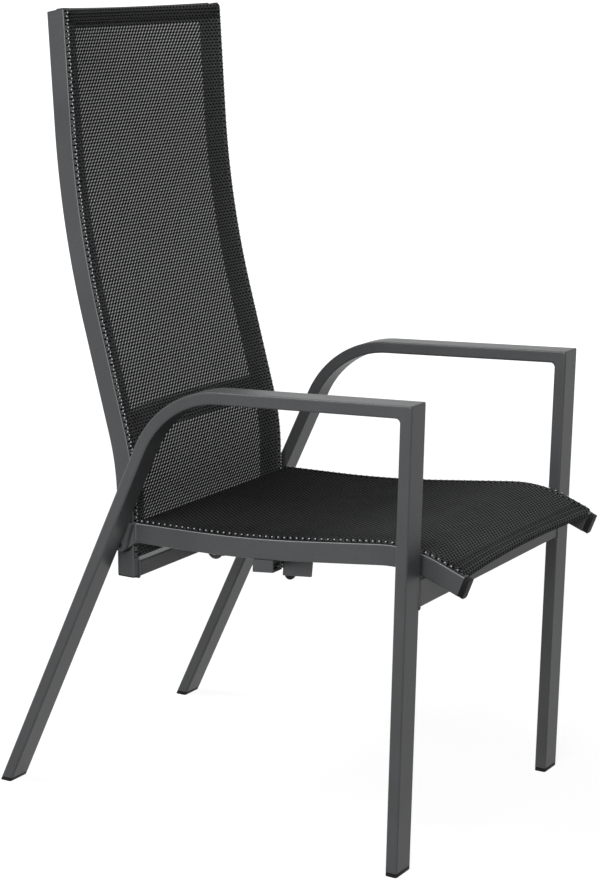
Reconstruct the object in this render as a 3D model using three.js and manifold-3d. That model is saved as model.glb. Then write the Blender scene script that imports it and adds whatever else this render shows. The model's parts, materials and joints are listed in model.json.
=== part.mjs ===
// High-back reclining garden armchair with a sling seat and a sling back.
// Millimetres, +Z up. The sitter faces -Y, and X runs across the chair.
import * as THREE from 'three';
import { mergeVertices } from 'three/addons/utils/BufferGeometryUtils.js';
import Module from 'manifold-3d';

const wasm = await Module();
wasm.setup();

// Clearances
const fitGap = 0.3; // between pieces that touch
const cutOverrun = 2; // how far a cutter runs past what it cuts

// Side frames: a front leg mitred to one bent tube that is the armrest and the rear leg
const overallWidth = 506;
const armHeight = 660;
const frameTubeWidth = 40;
const frameTubeDepth = 18;
const frameTubeCorner = 3;
const frameTubeWall = 1.5;
const frontFootSetback = 16;
const rearFootReach = 701;
const elbowRadius = 155;
const armFallDegrees = 2.6;
const rearLegDegrees = 25.5;
const footHeight = 6;
const footStemLength = 18;

// Rails of the seat frame and of the back frame share one section
const railDepth = 30;
const railWidth = 14;
const railCorner = 3;
const railWall = 1.5;
const plugFlange = 2.5;
const plugStemLength = 16;

// Seat frame
const seatRearReach = 482.5;
const seatRearHeight = 410.8;
const seatRearLength = 195;
const seatMiddleLength = 259;
const seatFrontLength = 86;
const seatRearDegrees = 1.1;
const seatMiddleDegrees = 6.4;
const seatFrontDegrees = -21.2;
const seatHollowRadius = 1980;
const seatCrestRadius = 185;
const seatCapLength = 8;
const crossTubeHeight = 40;
const crossTubeDepth = 18;
const frontBarWidth = 22;
const frontBarThickness = 6;
const frontBarSetback = 2;
const frontBarBow = 8; // of the bar's middle, to the rear
const rearBarRadius = 8;
const rearBarSetback = 14;

// Back frame
const backStandoff = 7.5; // between the seat rails' ends and the back rails
const backFootDrop = 48.6; // from the hinge to the foot of the back rails
const backLowerLength = 163.6;
const backMiddleLength = 357;
const backUpperLength = 303;
const backMiddleDegrees = 15;
const backUpperDegrees = 3.2;
const backTopWidth = 392; // over the rails' tops, because the back narrows upwards
const lumbarRadius = 365;
const shoulderRadius = 1365;
const backTopSlopeDegrees = 8; // of the rails' cut top ends, down to the rear
const topBarHeight = 28;
const topBarDepth = 14;
const topBarBow = 20;
const topBarTiltDegrees = 7; // of the bow, down to the rear
const topBarRise = 2.5; // above the middle of the rails' top ends
const lumbarBarHeight = 40;
const lumbarBarDepth = 18;
const lumbarBarBow = 20;
const lumbarBarRise = 215.6; // above the foot of the back rails
const bottomBarHeight = 24;
const bottomBarDepth = 20;
const bottomBarDrop = 3; // below the rails' ends

// Slings
const slingThickness = 1.6;
const slingEdgeMargin = 3.5; // from a rail's outer face to the sling's edge
const backSlingRise = 28.6; // from the foot of the back rails to the sling's lower edge
const backSlingDrop = 2.5; // from the top of the back rails to the sling's upper edge
const seatSlingReturn = 16; // what turns under the front bar

// Recline hinge
const pivotDrop = 19; // from the middle of the seat rails' ends to the hinge
const pivotBoltRadius = 4;
const pivotBoltHeadRadius = 7;
const pivotBoltHeadLength = 5;
const pivotBushWall = 2.4;
const pivotSpacerRadius = 13;
const pivotSpacerThickness = 1.6;
const bracketThickness = 8.4;
const bracketRadius = 10; // round the hinge and on the rear leg
const bracketCorner = 2;
const bracketTopSetback = 2; // of the bracket's front edge behind the seat rail's end
const bracketFootSetback = 10.5;
const cheekThickness = 2.5; // of the bracket's inner plate, level with the rail's outer face

// Gas strut between the mechanism tube under the seat and the foot of the back
const mechanismReach = 310;
const mechanismRadius = 9;
const mechanismDrop = 22;
const mechanismBendRadius = 30;
const mechanismLevelShare = 0.37; // of the half width that is level in the middle
const mechanismSlopeShare = 0.32;
const strutFrontSetback = 26; // of the front pin from the mechanism tube
const strutFrontDrop = 26;
const strutRearSetback = 30; // of the rear pin from the hinge
const strutRearDrop = 51;
const strutPinRadius = 4;
const strutPinHeadRadius = 6.5;
const strutPinHeadLength = 2.5;
const strutCylinderRadius = 11;
const strutFloor = 13; // of solid metal at the foot of the cylinder's bore
const strutRodRadius = 4;
const strutRodShown = 52;
const strutRodInsetShare = 0.65; // of the bore's depth that the rod fills at rest
const strutBarrelRadius = 9;
const strutBarrelWidth = 24;
const strutEyeRadius = 10;
const strutEyeBore = 6.6; // slack for the one pivot of the linkage that is left open
const strutEyeWidth = 16;
const strutEyeNeck = 22;
const strutNeckRadius = 8;
const earThickness = 3;
const frontEarRadius = 9;
const frontEarCollar = 4; // of an ear round the mechanism tube
const lugRadius = 14;
const lugCorner = 1.5;

// Valve in the strut's head, pushed by the release lever
const valveSetback = 18;
const valveHeadLength = 26;
const valveHeadWidth = 16;
const valveHeadTop = 8;
const valveHeadDepth = 12;
const valveRadius = 2.5;
const valveRise = 15;
const valveSink = 4.5;
const valveTravel = 3;

// Release lever on its cross shaft
const shaftSetback = 57; // from the mechanism tube
const shaftDrop = 7.9; // below the top of its bearing block
const shaftRadius = 4;
const shaftInnerEnd = 15;
const bearingWidth = 24;
const bearingAhead = 7; // of the shaft
const bearingLength = 34;
const bearingBelowFront = 7.4; // under the shaft's middle
const bearingBelowRear = 10.8;
const bearingOuterWall = 4;
const bearingInnerWall = 2.5;
const bearingFloor = 3;
const bearingPocketDepth = 26;
const bearingBoreDepth = 22;
const leverInset = 32; // from the seat rail's outer face
const leverThickness = 2.5;
const leverAhead = 52.5; // from the shaft's middle to the plate's front
const leverHeel = 4.5; // from the shaft's middle to the plate's rear
const leverAbove = 2.2; // from the shaft's middle to the plate's top
const leverBelow = 19.8;
const leverTiltDegrees = 5.5; // up to the front
const leverHubRadius = 8;
const leverCorner = 1.5;
const bumperRadius = 8;
const bumperLength = 6;
const bumperAhead = 12; // of the shaft
const bumperBelow = 17;
const fingerThickness = 4;
const fingerTipRadius = 3;
const fingerGap = 0.6;
const shaftEarOffset = 8.3;

// Facets
const arcSteps = 8;
const cornerSteps = 1;
const roundSteps = 8;
const latheSteps = 20;
const slingColumns = 12;
const hullSteps = 24;

// Directions and vectors in the chair's own terms
const across = new THREE.Vector3(1, 0, 0);
const rearward = new THREE.Vector3(0, 1, 0);
const upward = new THREE.Vector3(0, 0, 1);
const quarterTurn = Math.PI / 2;
const radians = THREE.MathUtils.degToRad;
const at = (x, y, z) => new THREE.Vector3(x, y, z);
const sides = { left: 1, right: -1 };

// A run of straight lengths joined by round bends. Each station carries the section's two axes,
// and an end may be cut by a plane that isn't square to the run.
class BentPath extends THREE.Curve {
  constructor(corners, radii, side, cuts = {}) {
    super();
    Object.assign(this, { corners, radii, side, cuts });
    this.stations = [];
    const ways = corners.slice(1).map((corner, i) => corner.clone().sub(corners[i]).normalize());
    this.addStation(corners[0], ways[0]);
    for (let i = 1; i < ways.length; i += 1) this.addBend(corners[i], ways[i - 1], ways[i], radii[i - 1]);
    this.addStation(corners.at(-1), ways.at(-1));
    this.cut(this.stations[0], cuts.start);
    this.cut(this.stations.at(-1), cuts.end);
    this.steps = this.stations.length - 1;
  }

  addStation(point, way) {
    const last = this.stations.at(-1);
    if (last && last.point.distanceTo(point) < fitGap) this.stations.pop();
    const rise = way.clone().cross(this.side);
    this.stations.push({ point: point.clone(), way: way.clone(), rise });
  }

  addBend(corner, before, after, radius) {
    const turn = before.angleTo(after);
    const axis = before.clone().cross(after).normalize();
    const start = corner.clone().addScaledVector(before, -radius * Math.tan(turn / 2));
    const centre = start.clone().addScaledVector(axis.clone().cross(before), radius);
    for (let step = 0; step <= arcSteps; step += 1) {
      const angle = (turn * step) / arcSteps;
      const point = start.clone().sub(centre).applyAxisAngle(axis, angle).add(centre);
      this.addStation(point, before.clone().applyAxisAngle(axis, angle));
    }
  }

  cut(station, normal) {
    if (normal) station.rise = normal.clone().cross(this.side).divideScalar(normal.dot(station.way));
  }

  getPointAt(share) {
    return this.stations[Math.round(share * this.steps)].point.clone();
  }

  getPoint(share) {
    return this.getPointAt(share);
  }

  getSpacedPoints() {
    return this.stations.map(({ point }) => point.clone());
  }

  computeFrenetFrames() {
    return {
      tangents: this.stations.map(({ way }) => way.clone()),
      normals: this.stations.map(() => this.side.clone()),
      binormals: this.stations.map(({ rise }) => rise.clone()),
    };
  }

  // The same run moved by a distance along the section's second axis.
  offset(distance) {
    const ways = this.corners.slice(1).map((corner, i) => corner.clone().sub(this.corners[i]).normalize());
    const rises = ways.map((way) => way.clone().cross(this.side));
    const corners = this.corners.map((corner, i) => {
      const before = rises[Math.max(i - 1, 0)];
      const after = rises[Math.min(i, rises.length - 1)];
      const share = 1 / (1 + before.dot(after));
      return corner.clone().addScaledVector(before.clone().add(after), distance * share);
    });
    const radii = this.radii.map((radius, i) => radius - Math.sign(ways[i + 1].dot(rises[i])) * distance);
    return new BentPath(corners, radii, this.side, this.cuts);
  }

  // Height of the run's centre line where it passes a reach along Y.
  heightAt(reach) {
    const { stations } = this;
    for (let i = 1; i < stations.length; i += 1) {
      const [a, b] = [stations[i - 1].point, stations[i].point];
      const share = (reach - a.y) / (b.y - a.y);
      if (share >= 0 && share <= 1) return THREE.MathUtils.lerp(a.z, b.z, share);
    }
    return stations.at(-1).point.z;
  }

  // Reach along Y of the run's centre line at a height.
  reachAt(height) {
    const { stations } = this;
    for (let i = 1; i < stations.length; i += 1) {
      const [a, b] = [stations[i - 1].point, stations[i].point];
      const share = (height - a.z) / (b.z - a.z);
      if (share >= 0 && share <= 1) return THREE.MathUtils.lerp(a.y, b.y, share);
    }
    return stations.at(-1).point.y;
  }

  // Point and direction at a distance back from the run's last point.
  beforeEnd(distance) {
    const { point, way } = this.stations.at(-1);
    return { point: point.clone().addScaledVector(way, -distance), way: way.clone() };
  }
}

// Sections
function roundedOutline(width, height, corner, Outline = THREE.Shape) {
  const [x, y] = [width / 2 - corner, height / 2 - corner];
  const outline = new Outline();
  outline.absarc(x, -y, corner, -quarterTurn, 0);
  outline.absarc(x, y, corner, 0, quarterTurn);
  outline.absarc(-x, y, corner, quarterTurn, Math.PI);
  outline.absarc(-x, -y, corner, Math.PI, Math.PI + quarterTurn);
  outline.closePath();
  return outline;
}

function boxTubeSection(width, height, corner, wall) {
  const section = roundedOutline(width, height, corner);
  section.holes.push(roundedOutline(width - 2 * wall, height - 2 * wall, corner - wall, THREE.Path));
  return section;
}

function circleAt(y, z, radius, Outline = THREE.Path) {
  return new Outline().absarc(y, z, radius, 0, 2 * Math.PI);
}

function roundTubeSection(radius, wall) {
  const section = circleAt(0, 0, radius, THREE.Shape);
  section.holes.push(circleAt(0, 0, radius - wall));
  return section;
}

// The convex outline round some circles in the YZ plane, like a belt round pulleys.
function beltOutline(spots) {
  const points = spots.flatMap(({ y, z, radius }) => Array.from({ length: hullSteps }, (_, i) => {
    const angle = (2 * Math.PI * i) / hullSteps;
    return new THREE.Vector2(y + radius * Math.cos(angle), z + radius * Math.sin(angle));
  }));
  points.sort((a, b) => a.x - b.x || a.y - b.y);
  const chain = (run) => run.reduce((hull, point) => {
    while (hull.length > 1 && turnOf(hull.at(-2), hull.at(-1), point) <= 0) hull.pop();
    hull.push(point);
    return hull;
  }, []).slice(0, -1);
  return new THREE.Shape([...chain(points), ...chain(points.toReversed())]);
}

const turnOf = (a, b, c) => b.clone().sub(a).cross(c.clone().sub(b));

// Solids
function sweep(section, path, curveSegments = cornerSteps) {
  return new THREE.ExtrudeGeometry(section, { steps: path.steps, extrudePath: path, curveSegments });
}

function plateAcross(outline, from, to, curveSegments = roundSteps) {
  const plate = new THREE.ExtrudeGeometry(outline, { depth: to - from, bevelEnabled: false, curveSegments });
  plate.applyMatrix4(new THREE.Matrix4().makeBasis(rearward, upward, across));
  return plate.translate(from, 0, 0);
}

function box(low, high) {
  const [width, depth, height] = [high.x - low.x, high.y - low.y, high.z - low.z];
  const centre = low.clone().add(high).divideScalar(2);
  return new THREE.BoxGeometry(width, depth, height).translate(centre.x, centre.y, centre.z);
}

// A body turned round an axis across the chair. Each profile point is [radius, x].
function turnedAcross(profile, reach, height) {
  const points = profile.map(([radius, x]) => new THREE.Vector2(radius, x));
  return new THREE.LatheGeometry(points, latheSteps).rotateZ(-quarterTurn).translate(0, reach, height);
}

function solidOf(geometry) {
  const bare = geometry.clone();
  bare.deleteAttribute('normal');
  bare.deleteAttribute('uv');
  const merged = mergeVertices(bare);
  const vertProperties = new Float32Array(merged.attributes.position.array);
  const triVerts = new Uint32Array(merged.index.array);
  return new wasm.Manifold(new wasm.Mesh({ numProp: 3, vertProperties, triVerts }));
}

function geometryOf(solid) {
  const { vertProperties, triVerts } = solid.getMesh();
  const geometry = new THREE.BufferGeometry();
  geometry.setAttribute('position', new THREE.BufferAttribute(vertProperties, 3));
  geometry.setIndex(new THREE.BufferAttribute(triVerts, 1));
  geometry.computeVertexNormals();
  return geometry;
}

function cutFrom(body, ...cutters) {
  return geometryOf(cutters.map(solidOf).reduce((rest, cutter) => rest.subtract(cutter), solidOf(body)));
}

function joined(...bodies) {
  return geometryOf(bodies.map(solidOf).reduce((whole, body) => whole.add(body)));
}

// Finishes
function finish(color, roughness, metalness) {
  return new THREE.MeshStandardMaterial({ color, roughness, metalness });
}

const powderCoat = finish(0x55575a, 0.45, 0.35);
const blackPlastic = finish(0x1c1b1c, 0.55, 0);
const slingCloth = finish(0x232525, 0.8, 0);
const brightSteel = finish(0xb4b6b8, 0.3, 1);
const darkSteel = finish(0x3a3b3d, 0.4, 0.6);

const chair = new THREE.Group();

function piece(name, geometry, material, parent = chair) {
  const mesh = new THREE.Mesh(geometry, material);
  mesh.name = name;
  parent.add(mesh);
}

// Side frames
const frameTubeX = (overallWidth - frameTubeWidth) / 2;
const frameInnerX = overallWidth / 2 - frameTubeWidth;

function sideFrameLine() {
  const half = frameTubeDepth / 2;
  const fall = Math.tan(radians(armFallDegrees));
  const lean = Math.tan(radians(rearLegDegrees));
  const shoulder = { y: half, z: armHeight - half };
  const elbowZ = (shoulder.z + (shoulder.y - rearFootReach) * fall) / (1 - fall * lean);
  return {
    frontFoot: { y: frontFootSetback + half, z: 0 },
    shoulder,
    elbow: { y: rearFootReach - elbowZ * lean, z: elbowZ },
    rearFoot: { y: rearFootReach, z: 0 },
  };
}

const sideLine = sideFrameLine();
const onSide = (point, x) => at(x, point.y, point.z);
const wayBetween = (from, to) => at(0, to.y - from.y, to.z - from.z).normalize();

function legPoint(foot, top, height) {
  const share = (height - foot.z) / (top.z - foot.z);
  return { y: THREE.MathUtils.lerp(foot.y, top.y, share), z: height };
}

const { frontFoot, shoulder, elbow, rearFoot } = sideLine;
const legWay = wayBetween(frontFoot, shoulder);
const armWay = wayBetween(shoulder, elbow);
const mitrePlane = legWay.clone().add(armWay).normalize();

const frameSection = () => boxTubeSection(frameTubeWidth, frameTubeDepth, frameTubeCorner, frameTubeWall);

function addSideFrame(side, sign) {
  const x = sign * frameTubeX;
  const legTop = onSide(shoulder, x).addScaledVector(mitrePlane, -fitGap / 2);
  const armStart = onSide(shoulder, x).addScaledVector(mitrePlane, fitGap / 2);
  const legCuts = { start: upward, end: mitrePlane };
  const legFoot = onSide(legPoint(frontFoot, shoulder, footHeight), x);
  const leg = new BentPath([legFoot, legTop], [], across, legCuts);
  piece(`front_leg_${side}`, sweep(frameSection(), leg), powderCoat);

  const rearEnd = onSide(legPoint(rearFoot, elbow, footHeight), x);
  const armCuts = { start: mitrePlane, end: upward.clone().negate() };
  const arm = new BentPath([armStart, onSide(elbow, x), rearEnd], [elbowRadius], across, armCuts);
  piece(`arm_and_rear_leg_${side}`, sweep(frameSection(), arm), powderCoat);

  addFoot(`front_foot_${side}`, frontFoot, shoulder, x);
  addFoot(`rear_foot_${side}`, rearFoot, elbow, x);
}

// A foot is a flange as wide as the tube, with a stem that plugs into it.
function addFoot(name, foot, top, x) {
  const level = { start: upward, end: upward };
  const run = (from, to) => [onSide(legPoint(foot, top, from), x), onSide(legPoint(foot, top, to), x)];
  const flange = new BentPath(run(0, footHeight - fitGap), [], across, level);
  const stem = new BentPath(run(footHeight / 2, footHeight + footStemLength), [], across, level);
  const inset = 2 * (frameTubeWall + fitGap);
  const stemCorner = frameTubeCorner - frameTubeWall;
  const flangeSection = roundedOutline(frameTubeWidth, frameTubeDepth, frameTubeCorner);
  const stemSection = roundedOutline(frameTubeWidth - inset, frameTubeDepth - inset, stemCorner);
  piece(name, joined(sweep(flangeSection, flange), sweep(stemSection, stem)), blackPlastic);
}

// The widths follow from the side frames, inwards: bracket, seat rail or cheek, spacer, back rail
const seatFrameWidth = 2 * (frameInnerX - bracketThickness - 2 * fitGap);
const backFrameWidth = seatFrameWidth - 2 * (cheekThickness + pivotSpacerThickness + 2 * fitGap);

// Seat frame
const seatRailX = (seatFrameWidth - railWidth) / 2;
const seatRailInnerX = seatFrameWidth / 2 - railWidth;

function seatRailPath(x) {
  const lengths = [seatRearLength, seatMiddleLength, seatFrontLength];
  const angles = [seatRearDegrees, seatMiddleDegrees, seatFrontDegrees].map(radians);
  const corners = [at(x, seatRearReach, seatRearHeight)];
  lengths.forEach((length, i) => {
    const step = at(0, -Math.cos(angles[i]), Math.sin(angles[i])).multiplyScalar(length);
    corners.push(corners.at(-1).clone().add(step));
  });
  const cuts = { start: rearward.clone().negate() };
  return new BentPath(corners, [seatHollowRadius, seatCrestRadius], across, cuts);
}

const seatLine = seatRailPath(0);
const railSection = () => boxTubeSection(railWidth, railDepth, railCorner, railWall);

// A plug has a flange that covers the rail's end, cut to the same plane, and a stem inside it.
function plugGeometry(end, way, flange, plane = way) {
  const inset = 2 * (railWall + fitGap);
  const cuts = { start: plane, end: plane };
  const start = end.clone().addScaledVector(way, fitGap);
  const outer = new BentPath([start, start.clone().addScaledVector(way, flange)], [], across, cuts);
  const root = start.clone().addScaledVector(way, flange / 2);
  const inner = new BentPath([root.clone().addScaledVector(way, -plugStemLength), root], [], across, cuts);
  const stemSection = roundedOutline(railWidth - inset, railDepth - inset, railCorner - railWall);
  return joined(sweep(roundedOutline(railWidth, railDepth, railCorner), outer), sweep(stemSection, inner));
}

function addSeatRail(side, sign) {
  const path = seatRailPath(sign * seatRailX);
  const { point, way } = path.beforeEnd(0);
  piece(`seat_rail_${side}`, sweep(railSection(), path), powderCoat);
  piece(`seat_rail_cap_${side}`, plugGeometry(point, way, seatCapLength), blackPlastic);
}

const seatRailBottomAt = (reach) => seatLine.offset(-railDepth / 2).heightAt(reach);

function addFrontCrossTube() {
  const legFront = THREE.MathUtils.lerp(frontFootSetback, 0, seatRearHeight / armHeight);
  const y = legFront + crossTubeDepth / 2;
  const railBottoms = [y - crossTubeDepth / 2, y + crossTubeDepth / 2].map(seatRailBottomAt);
  const top = Math.min(...railBottoms) - fitGap;
  const z = top - crossTubeHeight / 2;
  const half = frameInnerX - fitGap;
  const path = new BentPath([at(-half, y, z), at(half, y, z)], [], rearward);
  const section = boxTubeSection(crossTubeDepth, crossTubeHeight, frameTubeCorner, frameTubeWall);
  piece('front_cross_tube', sweep(section, path), powderCoat);
}

function barBetweenSeatRails(centre, side) {
  const half = seatRailInnerX - fitGap;
  return new BentPath([at(-half, centre.y, centre.z), at(half, centre.y, centre.z)], [], side);
}

// The sling's underside runs this far above the centre line of the rails.
const slingUnderside = railDepth / 2 + fitGap;
const frontBarCentre = () => {
  const top = seatLine.offset(slingUnderside - fitGap - frontBarThickness / 2);
  return top.beforeEnd(frontBarSetback + frontBarWidth / 2);
};

function addSeatBars() {
  const { point, way } = frontBarCentre();
  const flat = roundedOutline(frontBarThickness, frontBarWidth, frontBarThickness / 2 - fitGap);
  const half = seatRailInnerX - fitGap;
  const rise = way.clone().cross(across);
  piece('seat_front_bar', bowedBar(point, half, flat, frontBarBow, way.clone().negate(), rise), powderCoat);
  const z = seatRearHeight + railDepth / 2 - rearBarRadius;
  const rear = barBetweenSeatRails(at(0, seatRearReach - rearBarSetback, z), rearward);
  piece('seat_rear_bar', sweep(roundTubeSection(rearBarRadius, railWall), rear, roundSteps), powderCoat);
}

// The seat sling lies on the rails and turns under the bowed front bar.
function addSeatSling() {
  const over = seatLine.offset(slingUnderside + slingThickness / 2);
  const wrap = frontBarThickness / 2 + fitGap + slingThickness / 2;
  const { way } = seatLine.beforeEnd(0);
  const rise = way.clone().cross(across);
  const reach = wrap - frontBarSetback - frontBarThickness / 2;
  const nose = over.corners.at(-1).clone().addScaledVector(way, reach);
  const under = nose.clone().addScaledVector(rise, -2 * wrap);
  const end = under.clone().addScaledVector(way, -seatSlingReturn - wrap);
  const corners = [...over.corners.slice(0, -1), nose, under, end];
  const path = new BentPath(corners, [...over.radii, wrap, wrap], across);

  const half = seatFrameWidth / 2 - slingEdgeMargin;
  const free = seatRailInnerX - fitGap;
  const places = slingPlaces(half, free);
  const pull = (point) => {
    const share = 1 - way.dot(nose.clone().sub(point)) / seatFrontLength;
    return frontBarBow * THREE.MathUtils.clamp(share, 0, 1) ** 2;
  };
  const face = (depth) => (column, row) => {
    const station = path.stations[row];
    const x = places[column];
    const slack = pull(station.point) * Math.max(0, 1 - (x / free) ** 2);
    const point = station.point.clone().setX(x).addScaledVector(station.rise, depth);
    return point.addScaledVector(way, -slack);
  };
  const faces = [face(-slingThickness / 2), face(slingThickness / 2)];
  const sheet = sheetBetween(...faces, places.length - 1, path.steps);
  piece('seat_sling', cutFrom(sheet, ...returnTrim(nose, way, rise, half, free)), slingCloth);
}

// Columns of a sling: its two edges on the rails and an even spread between the rails.
function slingPlaces(half, free) {
  const inside = Array.from({ length: slingColumns + 1 }, (_, i) => free * ((2 * i) / slingColumns - 1));
  return [-half, ...inside, half];
}

// Cutters that narrow the sling's return so that it fits between the rails.
function returnTrim(nose, way, rise, half, free) {
  const length = seatSlingReturn + frontBarWidth;
  const thickness = 2 * frontBarThickness;
  const strip = half - free + cutOverrun;
  return Object.values(sides).map((sign) => {
    const cutter = new THREE.BoxGeometry(strip, length, thickness);
    const middle = nose.clone().addScaledVector(way, -length / 2 + cutOverrun);
    middle.addScaledVector(rise, -(slingThickness + thickness) / 2);
    cutter.applyMatrix4(new THREE.Matrix4().makeBasis(across, way, across.clone().cross(way)));
    return cutter.translate(sign * (free + strip / 2), middle.y, middle.z);
  });
}

// Back frame
const backRailX = (backFrameWidth - railWidth) / 2;
const backInnerX = backFrameWidth / 2 - railWidth;
const backRearFace = railDepth / 2;
const backReach = seatRearReach + backStandoff + railDepth / 2;
const pivotHeight = seatRearHeight - pivotDrop;
const backFootHeight = pivotHeight - backFootDrop;

function backRailPath(x) {
  const lengths = [backLowerLength, backMiddleLength, backUpperLength];
  const angles = [0, backMiddleDegrees, backUpperDegrees].map(radians);
  const corners = [at(x, backReach, backFootHeight)];
  lengths.forEach((length, i) => {
    const step = at(0, Math.sin(angles[i]), Math.cos(angles[i])).multiplyScalar(length);
    corners.push(corners.at(-1).clone().add(step));
  });
  return new BentPath(corners, [lumbarRadius, shoulderRadius], across, { end: topPlane(angles.at(-1)) });
}

// The rails' top ends are cut so that they fall to the rear.
function topPlane(lean) {
  const angle = lean + radians(backTopSlopeDegrees);
  return at(0, Math.sin(angle), Math.cos(angle));
}

const backLine = backRailPath(0);
const backTop = backLine.beforeEnd(0);
const pivotReach = backLine.reachAt(pivotHeight);

// The back narrows from its hinge to its top, so each point moves inwards by its height.
function narrowed(geometry) {
  const loss = 1 - backTopWidth / backFrameWidth;
  const rise = backTop.point.z - pivotHeight;
  const positions = geometry.getAttribute('position');
  for (let i = 0; i < positions.count; i += 1) {
    const share = (positions.getZ(i) - pivotHeight) / rise;
    positions.setX(i, positions.getX(i) * (1 - loss * share));
  }
  geometry.computeVertexNormals();
  return geometry;
}

function addBackRail(side, sign) {
  const x = sign * backRailX;
  const path = backRailPath(x);
  const boreRadius = pivotBoltRadius + fitGap + pivotBushWall + fitGap;
  const half = railWidth / 2 + cutOverrun;
  const boreProfile = [[0, -half], [boreRadius, -half], [boreRadius, half], [0, half]];
  const bore = turnedAcross(boreProfile, pivotReach, pivotHeight);
  const rail = cutFrom(sweep(railSection(), path), bore.translate(x, 0, 0));
  piece(`back_rail_${side}`, narrowed(rail), powderCoat);
  const { point, way } = path.beforeEnd(0);
  const topPlug = plugGeometry(point, way, plugFlange, topPlane(radians(backUpperDegrees)));
  piece(`back_rail_top_plug_${side}`, narrowed(topPlug), powderCoat);
  const foot = plugGeometry(path.corners[0], upward.clone().negate(), plugFlange);
  piece(`back_rail_foot_plug_${side}`, narrowed(foot), blackPlastic);
}

// A bar from side to side whose middle is moved by the bow, along one arc.
function bowedBar(centre, half, section, bow, way, side) {
  const leg = Math.hypot(half, 2 * bow);
  const corners = [-half, 0, half].map((x) => centre.clone().setX(x));
  corners[1].addScaledVector(way, 2 * bow);
  const radius = (leg * half) / (2 * bow);
  return sweep(section, new BentPath(corners, [radius], side, { start: across, end: across }));
}

const bottomBarTop = backFootHeight - bottomBarDrop + bottomBarHeight;

function addBackBars() {
  const half = backInnerX - fitGap;
  const bowedAt = (z, section, bow, tilt) => {
    const [way, side] = [rearward, upward].map((axis) => axis.clone().applyAxisAngle(across, -tilt));
    return narrowed(bowedBar(at(0, backLine.reachAt(z), z), half, section, bow, way, side));
  };
  const topZ = backTop.point.z + topBarRise - topBarHeight / 2;
  const topSection = boxTubeSection(topBarHeight, topBarDepth, railCorner, railWall);
  piece('back_top_bar', bowedAt(topZ, topSection, topBarBow, radians(topBarTiltDegrees)), powderCoat);
  const lumbarSection = boxTubeSection(lumbarBarHeight, lumbarBarDepth, railCorner, railWall);
  const lumbarBar = bowedAt(backFootHeight + lumbarBarRise, lumbarSection, lumbarBarBow, 0);
  piece('back_lumbar_bar', lumbarBar, powderCoat);

  const y = backReach - (railDepth - bottomBarDepth) / 2;
  const z = bottomBarTop - bottomBarHeight / 2;
  const path = new BentPath([at(-half, y, z), at(half, y, z)], [], rearward);
  const section = boxTubeSection(bottomBarDepth, bottomBarHeight, railCorner, railWall);
  piece('back_bottom_bar', narrowed(sweep(section, path)), powderCoat);
}

// The back sling lies on the front of the rails, and near its top it follows the bowed bar.
function addBackSling() {
  const lowest = backFootHeight + backSlingRise;
  const corners = backLine.corners.map((corner) => corner.clone());
  corners[0].z = lowest;
  corners[corners.length - 1].addScaledVector(backTop.way, -backSlingDrop);
  const path = new BentPath(corners, backLine.radii, across);
  const half = backFrameWidth / 2 - slingEdgeMargin;
  const free = backInnerX - fitGap;
  const places = slingPlaces(half, free);
  const highest = corners.at(-1).z;
  const bowStart = backFootHeight + backLowerLength + backMiddleLength;
  const bowAt = (z) => topBarBow * Math.max(0, (z - bowStart) / (highest - bowStart)) ** 2;
  const face = (depth) => (column, row) => {
    const { point, rise } = path.stations[row];
    const x = places[column];
    const sag = Math.max(0, 1 - (x / free) ** 2) * bowAt(point.z);
    return point.clone().setX(x).addScaledVector(rise, depth + sag);
  };
  const behind = -backRearFace - fitGap;
  const sheet = sheetBetween(face(behind - slingThickness), face(behind), places.length - 1, path.steps);
  piece('back_sling', narrowed(sheet), slingCloth);
}

// A closed sheet between two faces, each a function of a column and a row.
function sheetBetween(front, rear, columns, rows) {
  const positions = [];
  for (const face of [front, rear]) {
    for (let row = 0; row <= rows; row += 1) {
      for (let column = 0; column <= columns; column += 1) positions.push(...face(column, row).toArray());
    }
  }
  const index = [];
  const corner = (face, column, row) => (face * (rows + 1) + row) * (columns + 1) + column;
  const quad = (a, b, c, d) => index.push(a, b, c, a, c, d);
  for (let row = 0; row < rows; row += 1) {
    for (let column = 0; column < columns; column += 1) {
      const [right, above] = [column + 1, row + 1];
      const square = (face) => [[column, row], [right, row], [right, above], [column, above]]
        .map(([c, r]) => corner(face, c, r));
      quad(...square(0));
      quad(...square(1).toReversed());
    }
    const [above, last] = [row + 1, columns];
    quad(corner(0, last, row), corner(1, last, row), corner(1, last, above), corner(0, last, above));
    quad(corner(0, 0, row), corner(0, 0, above), corner(1, 0, above), corner(1, 0, row));
  }
  for (let column = 0; column < columns; column += 1) {
    const right = column + 1;
    quad(corner(0, column, 0), corner(1, column, 0), corner(1, right, 0), corner(0, right, 0));
    quad(corner(0, column, rows), corner(0, right, rows), corner(1, right, rows), corner(1, column, rows));
  }
  const geometry = new THREE.BufferGeometry();
  geometry.setAttribute('position', new THREE.Float32BufferAttribute(positions, 3));
  geometry.setIndex(index);
  geometry.computeVertexNormals();
  return geometry;
}

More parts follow.
